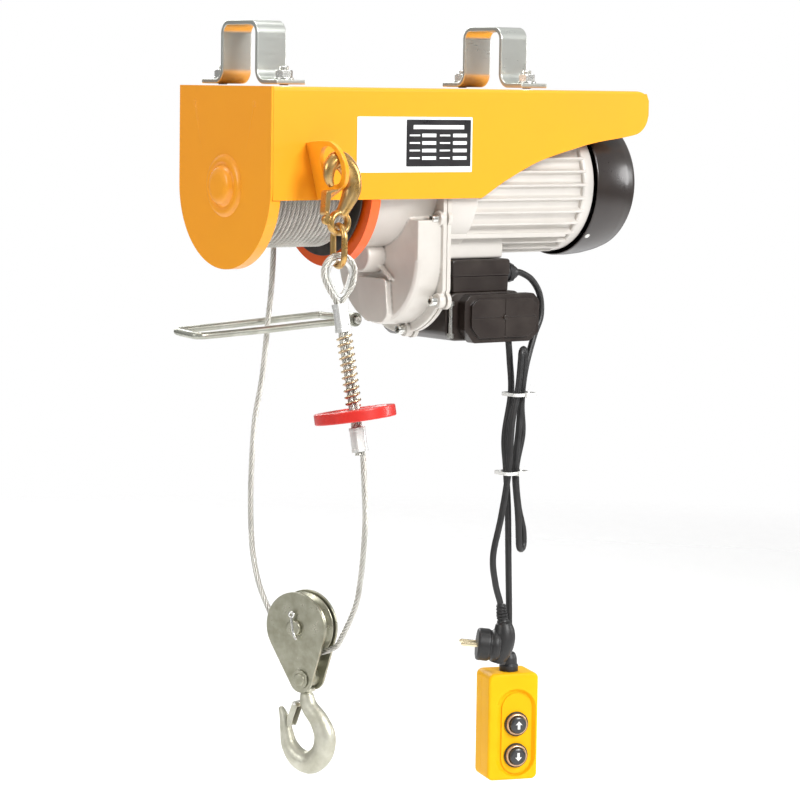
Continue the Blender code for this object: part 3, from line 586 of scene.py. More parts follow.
FAN_BLACK = surface("fan_cover_paint", (0.014, 0.009, 0.008), (0.022, 0.015, 0.012), 0.3, 0, 20, 0.05, 700,
                    0.1, 0.0002, coat=0.3)
GLAND = surface("gland_plastic", (0.012, 0.012, 0.013), (0.022, 0.022, 0.023), 0.42, 0, 60, 0.06, 1500, 0.12)
RUBBER = surface("cable_rubber", (0.008, 0.008, 0.008), (0.014, 0.013, 0.013), 0.44, 0, 90, 0.07, 1200, 0.14)
RED = surface("red_plastic", (0.62, 0.022, 0.014), (0.52, 0.016, 0.011), 0.34, 0, 35, 0.07, 800, 0.1, coat=0.2)
PENDANT = surface("pendant_plastic", (0.9, 0.46, 0.004), (0.87, 0.43, 0.003), 0.5, 0, 30, 0.05, 1600, 0.14)
PENDANT.node_tree.nodes["Principled BSDF"].inputs["Specular IOR Level"].default_value = 0.12
WHITE = surface("white_nylon", (0.78, 0.78, 0.76), (0.7, 0.7, 0.67), 0.42, 0, 60, 0.06, 900, 0.1)
LABEL_WHITE = surface("label_white", (0.83, 0.84, 0.85), (0.79, 0.8, 0.81), 0.38, 0, 20, 0.05, 1200, 0.04)
LABEL_BLACK = surface("label_black", (0.014, 0.013, 0.015), (0.022, 0.021, 0.022), 0.3, 0, 40, 0.05, 1200, 0.04)
BUTTON = surface("button_black", (0.018, 0.018, 0.019), (0.028, 0.028, 0.029), 0.3, 0, 60, 0.05, 1500, 0.06,
                 coat=0.3)
BEZEL = surface("bezel_metal", (0.7, 0.47, 0.3), (0.58, 0.38, 0.24), 0.34, 0.8, 120, 0.06, 900, 0.08)
BRASS = surface("plug_pins", (0.8, 0.7, 0.48), (0.7, 0.6, 0.4), 0.22, 1, 120, 0.05, 900, 0.06)
IRON = surface("dark_iron", (0.085, 0.078, 0.072), (0.05, 0.046, 0.042), 0.45, 0.6, 50, 0.1, 500, 0.2)
SLEEVE = surface("pressed_sleeve", (0.86, 0.86, 0.84), (0.76, 0.76, 0.73), 0.3, 0.75, 60, 0.07, 600, 0.1,
                 0.0002)
SPRING = surface("spring_wire", (0.62, 0.5, 0.33), (0.48, 0.37, 0.22), 0.28, 1, 120, 0.07, 900, 0.08)
STEEL = surface("machined_steel", (0.58, 0.575, 0.56), (0.46, 0.455, 0.44), 0.26, 1, 80, 0.08, 700, 0.1)
COPPER = surface("windings", (0.4, 0.17, 0.07), (0.26, 0.11, 0.05), 0.42, 0.7, 90, 0.1, 700, 0.3)
# the second colour is painted shade for the rope's grooves
ROPE = rope_material("wire_rope_steel", (0.88, 0.87, 0.82), (0.36, 0.33, 0.27))


# Camera, light and floor


def build_camera():
    heading, pitch, roll = (math.radians(degrees) for degrees in CAMERA_TURN)
    forward = Vector((math.sin(heading) * math.cos(pitch), math.cos(heading) * math.cos(pitch),
                      -math.sin(pitch)))
    level = Vector((math.cos(heading), -math.sin(heading), 0))
    above = level.cross(forward)
    right = level * math.cos(roll) + above * math.sin(roll)
    up = above * math.cos(roll) - level * math.sin(roll)
    data = bpy.data.cameras.new("camera")
    data.sensor_width = 36
    data.lens = CAMERA_LENS
    data.clip_end = 100
    camera = bpy.data.objects.new("camera", data)
    bpy.context.scene.collection.objects.link(camera)
    place = Matrix((right, up, -forward)).transposed().to_4x4()
    camera.matrix_world = Matrix.Translation(CAMERA_PLACE) @ place
    bpy.context.scene.camera = camera


def area_light(name, place, size, power, target=(0, 0, -0.3)):
    data = bpy.data.lights.new(name, "AREA")
    data.shape = "DISK"
    data.size = size
    data.energy = power
    light = bpy.data.objects.new(name, data)
    bpy.context.scene.collection.objects.link(light)
    light.location = place
    light.rotation_euler = (Vector(target) - Vector(place)).to_track_quat("-Z", "Y").to_euler()


def build_world():
    """White to the eye, and a soft room, darker below and with a dark band, for the metal to reflect."""
    world = bpy.data.worlds.new("studio")
    bpy.context.scene.world = world
    world.use_nodes = True
    tree = world.node_tree
    background = tree.nodes["Background"]
    where = tree.nodes.new("ShaderNodeTexCoord")
    split = tree.nodes.new("ShaderNodeSeparateXYZ")
    tree.links.new(where.outputs["Generated"], split.inputs[0])
    ramp = tree.nodes.new("ShaderNodeValToRGB")
    height = tree.nodes.new("ShaderNodeMapRange")
    height.inputs[1].default_value = -1
    tree.links.new(split.outputs[2], height.inputs[0])
    tree.links.new(height.outputs[0], ramp.inputs[0])
    stops = ((0, 0.5), (0.3, 0.42), (0.46, 0.3), (0.56, 0.62), (0.75, 0.95), (1, 1))
    ramp.color_ramp.elements[0].position = stops[0][0]
    ramp.color_ramp.elements[0].color = (stops[0][1],) * 3 + (1,)
    ramp.color_ramp.elements[1].position = stops[-1][0]
    ramp.color_ramp.elements[1].color = (stops[-1][1],) * 3 + (1,)
    for position, grey in stops[1:-1]:
        ramp.color_ramp.elements.new(position).color = (grey, grey, grey * 0.99, 1)
    seen = tree.nodes.new("ShaderNodeBackground")
    seen.inputs[0].default_value = (1, 1, 1, 1)
    path = tree.nodes.new("ShaderNodeLightPath")
    mix = tree.nodes.new("ShaderNodeMixShader")
    tree.links.new(ramp.outputs[0], background.inputs[0])
    background.inputs[1].default_value = 0.55
    tree.links.new(path.outputs["Is Camera Ray"], mix.inputs[0])
    tree.links.new(background.outputs[0], mix.inputs[1])
    tree.links.new(seen.outputs[0], mix.inputs[2])
    tree.links.new(mix.outputs[0], tree.nodes["World Output"].inputs[0])


def build_stage():
    """A pale round floor that fades into the white background."""
    floor = rod("floor", FLOOR_TOP - 2, FLOOR_TOP, 5000, 96, "Z")
    n = Nodes("pale_floor")
    where = n.add("ShaderNodeTexCoord").outputs["Object"]
    n.shader.inputs["Roughness"].default_value = 0.7
    n.feed(n.shader, "Base Color", n.mixed(n.noise(where, 1.5), (0.86, 0.86, 0.86, 1), (0.88, 0.88, 0.88, 1)))
    flat = n.add("ShaderNodeVectorMath", {"operation": "MULTIPLY"})
    n.feed(flat, "0", where)
    n.feed(flat, "1", (1, 1, 0))
    reach = n.add("ShaderNodeVectorMath", {"operation": "LENGTH"})
    n.feed(reach, "0", flat.outputs[0])
    clear = n.add("ShaderNodeBsdfTransparent").outputs[0]
    fade = n.add("ShaderNodeMixShader")
    n.feed(fade, "0", n.ranged(reach.outputs["Value"], 1.2, 3.6))
    n.feed(fade, "1", n.shader.outputs[0])
    n.feed(fade, "2", clear)
    n.tree.links.new(fade.outputs[0], n.tree.nodes["Material Output"].inputs[0])
    floor.data.materials.append(n.material)


def build_lights():
    area_light("key", (0.4, -3.4, 1.5), 1.6, 150)
    area_light("left", (-3.2, 0.2, 0.9), 1.6, 32)
    area_light("top", (0.1, 0.2, 2.3), 2, 50)
    area_light("right", (2.8, -1.2, 0.2), 1, 22, (0.1, 0, -0.3))
    area_light("back", (0.8, 3.2, 1), 2.2, 60)
    bpy.context.scene.view_settings.view_transform = "Standard"


# Frame and straps


def skirt_outline():
    curve = [(78, SKIRT_BOTTOM), (82.4, -183.7), (101, -172.8), (121.7, -161.9), (161.7, -144.3),
             (215, -129.8), (246.6, -123), (295, -116.1), (310, -111), (318, -102), (321, -92)]
    bend = [(p.x, p.y) for p in smooth_route([(x, z, 0) for x, z in curve], 4)]
    left = FRAME_LOW.x
    start = [(left, FRAME_TOP), (left, SKIRT_BOTTOM), (66, SKIRT_BOTTOM)]
    return start + bend + [(321, -76), (317.5, -68), (310, FRAME_TOP)]


def build_channel():
    channel = prism("channel_body", skirt_outline(), -HALF_DEPTH, HALF_DEPTH, "Y")
    folded(channel, lambda p: p.z > FRAME_TOP - 0.1 and abs(p.y) > HALF_DEPTH - 0.1, 5)
    inside = box("cutter", (-260, -HALF_DEPTH + SHEET, -260), (400, HALF_DEPTH - SHEET, FRAME_TOP - SHEET))
    folded(inside, lambda p: p.z > FRAME_TOP - SHEET - 0.1 and abs(p.y) > HALF_DEPTH - SHEET - 0.1, 2.5)
    cut(channel, inside)
    piece(channel, YELLOW, nodes=["frame_channel"], bevel=0.9)


def build_left_plate():
    face = -201
    outline = [(-HALF_DEPTH, FRAME_TOP)] + arc((0, DRUM_Z), HALF_DEPTH, 180, 360, 64)
    outline.append((HALF_DEPTH, FRAME_TOP))
    plate = prism("left_plate_body", outline, face, face + PLATE_SHEET, "X")
    end = 540 - RIM_START
    outer = arc((0, DRUM_Z), HALF_DEPTH, RIM_START, end, 60)
    inner = arc((0, DRUM_Z), HALF_DEPTH - PLATE_SHEET, end, RIM_START, 60)
    rim = prism("rim", outer + inner, face + 0.5, face + 13, "X")
    joined(plate, rim)
    piece(plate, YELLOW, nodes=["end_plate_left"], bevel=1.1)
    profile = [(face + 1.5, 0), (face + 1.5, 34.5), (face - 0.2, 34), (face - 3.2, 30.5), (face - 3.4, 26),
               (face - 1.6, 22.5), (face - 7.6, 19), (face - 9.4, 13), (face - 9.6, 0)]
    boss = lathe("left_plate_boss", profile, 96, centre=DRUM_CENTRE, soft=2.2)
    piece(boss, YELLOW, sharp=60)
    for index, y in enumerate((-57, 59)):
        profile = [(face + 0.5, 0), (face + 0.5, 3.6), (face - 0.25, 3.3), (face - 0.5, 2.2),
                   (face - 0.1, 1.2), (face - 0.1, 0)]
        dimple = lathe(f"spot_weld_{index}", profile, 28, centre=(0, y, -84), soft=0.5)
        piece(dimple, YELLOW, sharp=60)
        top, foot = Vector((face + 2.3, y, -86)), Vector((face + 2.42, y * 0.68, -146))
        run = [top.lerp(foot, k / 12) for k in range(13)]
        crease = sweep(f"pressed_crease_{index}", run, [2.6 - 0.012 * k for k in range(13)], 36)
        piece(crease, YELLOW, sharp=60)
    low, high = SHAFT_SEAT + 3.5, SHAFT_SEAT + 8
    collar = tube("shaft_socket", low, high, 12.6, 24, 48, centre=DRUM_CENTRE, soft=0.8)
    piece(collar, YELLOW)


def build_inner_plate():
    face = -69
    upper = HALF_DEPTH - SHEET - 0.4
    end = 540 - RIM_START
    arcs = arc((0, DRUM_Z), HALF_DEPTH, RIM_START, end, 60)
    outline = [(-upper, FRAME_TOP - SHEET - 0.4), (-upper, SKIRT_BOTTOM - 0.5)] + arcs
    outline += [(upper, SKIRT_BOTTOM - 0.5), (upper, FRAME_TOP - SHEET - 0.4)]
    plate = prism("inner_plate_body", outline, face, face + PLATE_SHEET, "X")
    back = arc((0, DRUM_Z), HALF_DEPTH - PLATE_SHEET, end, RIM_START, 60)
    joined(plate, prism("rim", arcs + back, face + 0.5, face + 12, "X"))
    cut(plate, rod("hole", face - 9, face + 9, 34, 64, centre=DRUM_CENTRE))
    piece(plate, ORANGE, nodes=["end_plate_inner"], bevel=0.9)


def build_lug():
    skirt = -HALF_DEPTH - 0.1
    outline = [(skirt, -124), (-112, -121.5)] + arc((-128, -147), 26, 100, 240, 28)
    outline += [(-106, -184), (skirt, -184.5)]
    lug = prism("anchor_lug_body", outline, -2.5, 2.5, "X")
    hole = [(-128 + 18 * math.cos(a), -147 + 20.5 * math.sin(a)) for a in [math.pi * i / 32 for i in range(64)]]
    cut(lug, prism("cutter", hole, -9, 9, "X"))
    shear = Matrix.Identity(4)
    slope = -13 / 51
    shear[0][2] = slope
    shear[0][3] = (-145.5 + slope * 159.5) * MM
    turned(lug, shear)
    piece(lug, YELLOW, nodes=["anchor_lug"], bevel=0.8)
    bead = []
    for i in range(30):
        z = -126 - i * 2
        bead.append((-145.5 + slope * (z + 159.5) + 3.4, -HALF_DEPTH - 0.6, z))
    radii = [2 + 0.45 * math.sin(2.1 * i) * math.sin(0.7 * i + 1) for i in range(30)]
    piece(sweep("lug_weld", smooth_route(bead, 3), [radii[min(i // 3, 29)] for i in range(88)], 12), YELLOW,
          sharp=70)


def strap_outline():
    """The hat section as (y, z): outside from the left foot to the right foot, then back along the inside."""
    top, sheet, inner, foot_y, foot_z = 5, 5, 31, 73.5, -63
    leg = inner + sheet
    left = [(-foot_y, foot_z + sheet)] + arc((-leg - 11, foot_z + sheet + 11), 11, 270, 360, 12)
    left += arc((-leg + 14, top - 14), 14, 180, 90, 14)
    outside = left + [(-y, z) for y, z in reversed(left)]
    right = [(foot_y, foot_z)] + arc((leg + 11, foot_z + sheet + 11), 16, 270, 180, 14)
    right += arc((leg - 14, top - 14), 9, 0, 90, 12)
    return outside + right + [(-y, z) for y, z in reversed(right)]


def hex_nut(name, low, high, across, x, y):
    """A nut with its corners turned down, about a vertical bolt."""
    corner = across / math.sqrt(3)
    nut = rod(name, low, high, corner, 6, "Z", (x, y, 0))
    wide = across / 2 + 0.4
    profile = [(low, 0), (low, wide), (low + 1.3, corner + 0.2), (high - 1.3, corner + 0.2), (high, wide),
               (high, 0)]
    return combined(nut, [lathe("cone", profile, 48, "Z", (x, y, 0))], "INTERSECT")


def thread_profile(low, high, radius, pitch):
    points = [(low, 0), (low, radius - pitch * 0.5)]
    count = int((high - low) / pitch)
    for k in range(count):
        points.append((low + pitch * (k + 0.5), radius))
        points.append((low + pitch * (k + 1), radius - pitch * 0.5))
    return points + [(high, radius - pitch * 0.6), (high, 0)]


def build_straps():
    for side, x in (("left", -STRAP_X), ("right", STRAP_X)):
        half = STRAP_WIDTH / 2
        strap = prism(f"strap_{side}_body", strap_outline(), x - half, x + half, "X")
        piece(strap, STRAP_ZINC, nodes=[f"strap_{side}"], bevel=1.1)
        for end, y in (("front", -BOLT_Y), ("rear", BOLT_Y)):
            stud = lathe(f"bolt_{side}_{end}_thread", thread_profile(-64, -43.5, 5, 1.25), 28, "Z", (x, y, 0))
            piece(stud, BOLT_ZINC, nodes=[f"bolt_{side}_{end}"])
            washer = tube(f"washer_{side}_{end}", -58, -56, 5.2, 10.4, 40, "Z", (x, y, 0), 0.5)
            piece(washer, BOLT_ZINC)
            nut = spun(hex_nut(f"nut_{side}_{end}", -56, -48, 17, x, y), 17 + y, "Z", (x, y, 0))
            piece(nut, BOLT_ZINC, bevel=0.4)
            head = hex_nut(f"head_{side}_{end}", -74.8, -68.3, 17, x, y)
            piece(head, BOLT_ZINC, bevel=0.4)


def build_label():
    """A blank white panel with a black plate of plain bars."""
    y = -HALF_DEPTH
    panel = softened(rectangle(-90.5, -96, 65, -156), 1.5)
    white = prism("label_panel", panel, y - 0.35, y - 0.05, "Y")
    piece(white, LABEL_WHITE)
    panel = softened(rectangle(-25, -99, 62.6, -149.7), 1)
    black = prism("label_plate", panel, y - 0.75, y - 0.4, "Y")
    piece(black, LABEL_BLACK)
    bars = [(-16, 53, -107, 2.2)]
    for row in range(4):
        z = -116 - 8.2 * row
        bars += [(-21, -7, z, 0.9), (-4, 15, z, 1.9), (20, 34, z, 0.9), (38, 57, z, 1.9)]
    marks = []
    for left, right, z, half in bars:
        marks.append(box("bar", (left, y - 0.95, z - half), (right, y - 0.8, z + half)))
    piece(grouped(marks[0], *marks[1:]), LABEL_WHITE)
    marks[0].name = "label_bars"


# Drum and rope


def build_drum():
    left, right, barrel, flange = -186, -72, 62.4, 78
    profile = [(left, flange), (left + 2, flange), (left + 2, barrel), (right - 2, barrel),
               (right - 2, flange), (right, flange), (right, barrel - 5), (left + 6, barrel - 5),
               (left + 6, 20), (left + 22, 20), (left + 22, 12.3), (left, 12.3)]
    piece(lathe("drum_body", profile, 96, centre=DRUM_CENTRE, soft=0.6), IRON, "drum", ["drum"])
    pitch, radius, low, turns = 5.72, 65.35, -178.6, 17.4
    steps = int(turns * 110)
    path = []
    for i in range(steps + 1):
        angle = 2 * math.pi * turns * i / steps
        x = low + pitch * angle / (2 * math.pi)
        path.append(Vector((x, radius * math.cos(angle), DRUM_Z + radius * math.sin(angle))))
    winding = laid_rope("rope_turns", path, TURN_SHARE * ROPE_D)
    piece(winding, ROPE, "drum", ["rope_winding"], sharp=75)
    shaft = lathe("drum_shaft_body", [(-197.5, 0), (-197.5, 11), (-196.5, 12), (21.6, 12), (21.6, 0)], 48,
                  centre=DRUM_CENTRE)
    piece(shaft, STEEL, "drum", ["drum_shaft"])


def line_point(along, aside=0):
    return UPPER_FERRULE + LINE * along + LINE_SIDE * aside


def line_matrix(along):
    return frame_matrix(line_point(along), LINE_SIDE, LINE.cross(LINE_SIDE), LINE)


def eye_points(radius, count=10):
    points = []
    for i in range(count + 1):
        angle = math.radians(-18 + 216 * i / count)
        across = EYE_WIDE * radius * math.cos(angle)
        points.append(EYE_CENTRE + across + Vector((0, 0, radius * math.sin(angle))))
    return points


def rope_route():
    """From the drum's rear side, round the sheave, up through the ferrules, round the eye and back down."""
    leaving = [(-90, 71.6, -174), (-90.2, 70.4, -192), (-90.7, 68.4, -216), (-91.2, 67, -247),
               (-93.2, 67, -286), (-96.2, 69, -325.2), (-100, 74, -388.5), (-107.2, 77, -435.7),
               (-112.1, 75, -479.3), (-118, 68, -521), (-124.5, 57, -553.7), (-131, 42, -585.5),
               (-134, 22, -620)]
    around = []
    for degrees in (197, 212, 228, 244, 260, 276, 292):
        a = math.radians(degrees)
        around.append(BLOCK_CENTRE + (BLOCK_SIDE * math.cos(a) + Vector((0, 0, math.sin(a)))) * 33)
    rising = [(-107.5, -82, -672), (-112, -104, -655.5), (-120, -139, -617), (-126.5, -157, -583.7),
              (-129.4, -166, -549.7), (-129.3, -168, -516.9), (-128.8, -165, -484.3)]
    half = ROPE_D / 2 + 0.2
    inside = [line_point(a, half) for a in (143, 116, 80, 45, 16, 0, -16)]
    eye = [EYE_CENTRE + EYE_WIDE * 14 + Vector((0.5, 0, -16))] + eye_points(18.2)
    eye += [EYE_CENTRE + EYE_WIDE * -13 + Vector((0.5, 0, -16))]
    down = [line_point(a, -half) for a in (-16, 0, 16, 45, 80, 116, 146)]
    return [Vector(p) for p in leaving] + around + [Vector(p) for p in rising] + inside + eye + down


def build_wire_rope():
    path = even_route(smooth_route(rope_route(), 12), 2.4)
    rope = laid_rope("wire_rope_strands", path, ROPE_D * FREE_ROPE_SHARE)
    piece(rope, ROPE, nodes=["wire_rope"], sharp=75)


# Cables, ties and plug


def pendant_matrix():
    return Matrix.Translation(PENDANT_CENTRE * MM) @ Matrix.Rotation(PENDANT_YAW, 4, "Z")


def build_cables():
    top = pendant_matrix() @ Vector((0, -4 * MM, (PENDANT_H / 2 + 1) * MM)) / MM
    control = [(146.6, -58, -348.9), (148.5, -58.5, -370), (150, -60, -407.7), (141, -61, -456.3),
               (144, -61, -494.3), (148.5, -60, -540), (151, -59.5, -599.3), (153.8, top.y, -660),
               (top.x, top.y, -700), tuple(top)]
    power = [(169.2, -40, -272), (177, -41, -273), (190, -44, -281), (200, -46.5, -298),
             (200.5, -48.5, -322), (188.5, -51.5, -345), (170, -60, -382.3), (164, -62, -420),
             (166, -62, -455), (157, -63, -495), (160, -64, -535), (166.8, -64.8, -562), (168.2, -65, -574),
             (168.2, -65.1, -580), (166.5, -66.1, -584.7), (162.3, -68.3, -586.8), (158.1, -70.5, -584.7),
             (156.4, -71.5, -580), (155.6, -72, -573), (153, -73, -545), (148, -72.5, -495),
             (152, -72.5, -450), (156, -72, -410), (160, -71.1, -376), (160.8, -71, -368),
             (160.7, -71.1, -362.5), (159.1, -72, -358.6), (155.4, -74.2, -356.8), (151.7, -76.4, -358.6),
             (150.1, -77.3, -362.5), (149.6, -77.5, -369), (146, -78, -400), (138, -78, -440),
             (134, -78, -495), (126.5, -76, -545), (118.5, -72.5, -590), (123, -71.5, -622),
             (131.7, -70.4, -646)]
    for name, route, end in (("control", control, "object"), ("power", power, "plug")):
        path = even_route(smooth_route(route, 10), 2)
        cable = sweep(f"{name}_cable_sheath", path, CABLE_D / 2, 18)
        piece(cable, RUBBER, nodes=[f"{name}_cable"], sharp=60)


def flat_section(angle):
    """A strip, much wider than thick."""
    return 0.32 * math.cos(angle), math.sin(angle)


def build_ties():
    spots = (("upper", 154.3, -69.2, -408, 15.2, 13.7), ("lower", 145.5, -69.6, -497, 16, 12.9))
    for name, x, y, z, half_x, half_y in spots:
        band = prism(f"tie_{name}_band", rounded(half_x + 1.2, half_y + 1.2, 6), -1.9, 1.9)
        cut(band, prism("cutter", rounded(half_x, half_y, 4.8), -5, 5))
        catch = softened(rectangle(-3.2, -half_y - 5, 3.2, -half_y - 0.4), 0.8)
        head = prism("head", catch, -2.6, 2.6)
        end = [(0, -half_y - 3, 1), (0.5, -half_y - 4, 5), (2, -half_y - 6, 10), (5, -half_y - 6, 15)]
        tail = sweep("tail", smooth_route(end, 5), 1.7, 8, up=Vector((0, 1, 0)), shape=flat_section)
        grouped(band, head, tail)
        moved(band, x, y, z)
        piece(band, WHITE, nodes=[f"cable_tie_{name}"], bevel=0.25, segments=2)


def build_plug():
    """Angled mains plug: the cable enters from above, the pins point to the left."""
    front = [(-22, 0), (-22, 17), (-20.5, 18.5), (-8.5, 18.5), (-7, 17), (-5.5, 17), (-4, 18.6), (0, 18.8),
             (4, 17), (6, 12), (6, 0)]
    body = lathe("plug_body", front, 56, soft=1.4)
    spine = [(4, 0, -19), (5.5, 0, -8), (7.5, 0, 4), (7.8, 0, 16), (5, 0, 28), (2.2, 0, 38), (0.2, 0, 48)]
    fine = even_route(smooth_route(spine, 8), 0.7)
    wide = []
    for point in fine:
        share = (point.z + 19) / 67
        bulge = 13.5 * math.sqrt(max(0.05, 1 - ((share - 0.36) / 0.42) ** 2)) if share < 0.78 else 0
        neck = 9.4 - 3.6 * share
        notch = 0.9 if share > 0.66 and int((point.z + 19) / 1.1) % 3 == 0 else 0
        wide.append(max(bulge, neck) - notch)
    back = sweep("back", fine, wide, 32)
    prong = [(-41, 0), (-41, 1.3), (-39.8, 2.4), (-20, 2.4), (-20, 0)]
    pins = grouped(*[lathe("pin", prong, 24, centre=(0, y, 0)) for y in (-9.5, 9.5)])
    pins.name = "plug_pins"
    for obj in (body, back, pins):
        for degrees, axis in ((6, "Y"), (-32, "Z")):
            spun(obj, degrees, axis)
        moved(obj, 128, -68, -695)
    grouped(body, back)
    piece(body, RUBBER, nodes=["plug"], sharp=50)
    piece(pins, BRASS)


# Gearbox


def flange_outline(grow=0):
    half, low = 80 + grow, 87 + grow
    start = math.degrees(math.acos(half / low))
    bottom = arc((0, LAYSHAFT_Z), low, 180 + start, 360 - start, 60)
    return arc((0, DRUM_Z), half, 0, 180, 60) + bottom


# (y, z) of the cover screws: the first three are solids in the CAD
SCREW_SPOTS = [(-73.6, -207.5), (-73.6, -298.5), (-14, -334), (73.6, -207.5), (73.6, -298.5), (-60, -118),
               (60, -118)]


def build_housing():
    split = 40
    body = lathe("gear_housing_body", [(-53, 0), (-53, 66.5), (-50, 69.5), (split, 69.5), (split, 0)], 96,
                 centre=DRUM_CENTRE)
    lower = lathe("lower", [(2, 0), (2, 72.5), (4, 75.5), (8, 76.5), (split, 77), (split, 0)], 96,
                  centre=LAYSHAFT_CENTRE)
    rim = prism("rim", flange_outline(), 34.8, split, "X")
    boss = lathe("boss", [(-21, 0), (-21, 16), (-19.5, 17.5), (2, 18), (10, 18), (10, 0)], 64,
                 centre=LAYSHAFT_CENTRE)
    switch = [(-28, -276), (29, -276), (16, -318), (9, -325), (-24, -325), (-33, -316)]
    bump = prism("bump", softened(switch, 4), -6, 6, "X")
    rib = moved(spun(box("rib", (-4.5, 16, -1.3), (6, 42, 1.3)), 216, "X"), *LAYSHAFT_CENTRE)
    ears = [rod("ear", 30.5, split - 0.9, 8.4, 32, centre=(0, y, z)) for y, z in SCREW_SPOTS]
    ledge = prism("ledge", [(-76.8, -209), (-76.8, -253), (-58, -253), (-58, -209)], 2.6, split - 2.3, "X")
    grouped(body, lower, rim, boss, bump, rib, *ears, ledge)
    cast(body, 1, 3)
    cut(body, rod("bore", -60, -22, 50, 64, centre=DRUM_CENTRE))
    piece(body, CASTING, nodes=["gear_housing"], sharp=80)
    cover = prism("gear_cover_body", flange_outline(0.4), split + 0.4, 45.4, "X")
    ears = [rod("ear", split + 0.4, 45.4, 9.8, 32, centre=(0, y, z)) for y, z in SCREW_SPOTS]
    joined(cover, *ears)
    cut(cover, rod("hole", 30, 60, 16, 48, centre=DRUM_CENTRE))
    piece(cover, CASTING, nodes=["gear_cover"], bevel=1)
    for index, (y, z) in enumerate(SCREW_SPOTS):
        head = lathe(f"socket_screw_{index}", [(22, 0), (22, 4.6), (22.8, 5.4), (31, 5.4), (31, 0)], 36,
                     centre=(0, y, z), soft=0.4)
        cut(head, rod("hex", 10, 26.5, 3.1, 6, centre=(0, y, z)))
        names = ("cover_screw_upper", "cover_screw_lower", "cover_screw_bottom")[index : index + 1]
        piece(head, BOLT_ZINC, nodes=names, bevel=0.25, segments=2)


# Motor and electrics


def build_motor():
    fins, tip, root = 32, 80, 73.2
    flank = [(root + 1.2, 0.36), (tip - 0.8, 0.19), (tip, 0.12)]
    fin = [(root, -0.6)] + [(r, -width) for r, width in flank]
    fin += flank[::-1] + [(root, 0.6), (root - 0.2, 1)]
    outline = []
    for k in range(fins):
        middle = 2 * math.pi * k / fins
        for r, width in fin:
            angle = middle + width * math.pi / fins
            outline.append((r * math.cos(angle), DRUM_Z + r * math.sin(angle)))
    body = prism("motor_fins", outline, 80, 240, "X")
    piece(body, MOTOR_PAINT, nodes=["motor_housing"], bevel=0.5, segments=2, sharp=50)
    profile = [(45.7, 0), (45.7, 80.4), (60, 80.6), (82.5, 80.8), (84, 80), (84, 76), (88, 72), (88, 0)]
    shield = lathe("motor_front_shield", profile, 96, centre=DRUM_CENTRE, soft=1.2)
    piece(shield, MOTOR_PAINT, sharp=50)
    collar = [(236, 60), (236, 77), (238, 78.6), (250, 78.6), (251.5, 77.5), (251.5, 60)]
    piece(lathe("motor_rear_collar", collar, 96, centre=DRUM_CENTRE, soft=0.8), MOTOR_PAINT)
    pad = box("terminal_pad", (66, -46, -254.8), (146, 46, -225))
    piece(pad, MOTOR_PAINT, bevel=3, segments=4)
    ledge = box("motor_ledge", (50, -60, -231.5), (226, -46, -226))
    piece(ledge, MOTOR_PAINT, bevel=1)


def build_fan_cover():
    left = 252.5
    outer = [(left, 84), (268, 84), (284, 82.8), (300, 80), (313, 76), (320, 69.5), (322, 62)]
    inner = [(319.5, 62), (317.8, 68.5), (311.5, 74), (299, 77.7), (268, 81.8), (left, 81.8)]
    cover = lathe("fan_cover_body", softened(outer + [(322, 0), (319.5, 0)] + inner, 3), 96, centre=DRUM_CENTRE)
    slots = []
    for ring, (low, high, count) in enumerate(((16, 34, 10), (40, 58, 20))):
        for k in range(count):
            slot = prism("slot", stadium((high - low) / 2, 2.4, 6), 300, 330)
            slot = turned(slot, Matrix.Rotation(math.radians(90), 4, "Y"))
            slot = moved(slot, 0, 0, (low + high) / 2)
            slots.append(moved(spun(slot, 360 * (k + 0.5 * ring) / count, "X"), *DRUM_CENTRE))
    cut(cover, grouped(*slots))
    piece(cover, FAN_BLACK, nodes=["fan_cover"], sharp=42)
    for index, degrees in enumerate((225, 315, 45, 135)):
        a = math.radians(degrees)
        y, z = 83.4 * math.cos(a), DRUM_Z + 83.4 * math.sin(a)
        profile = [(-1, 0), (-1, 3.6), (0.6, 3.4), (1.4, 2.2), (1.6, 0)]
        screw = lathe(f"fan_cover_screw_{index}", profile, 24, "Z", soft=0.4)
        spun(screw, degrees - 90, "X")
        piece(moved(screw, 258.5, y, z), BOLT_ZINC)


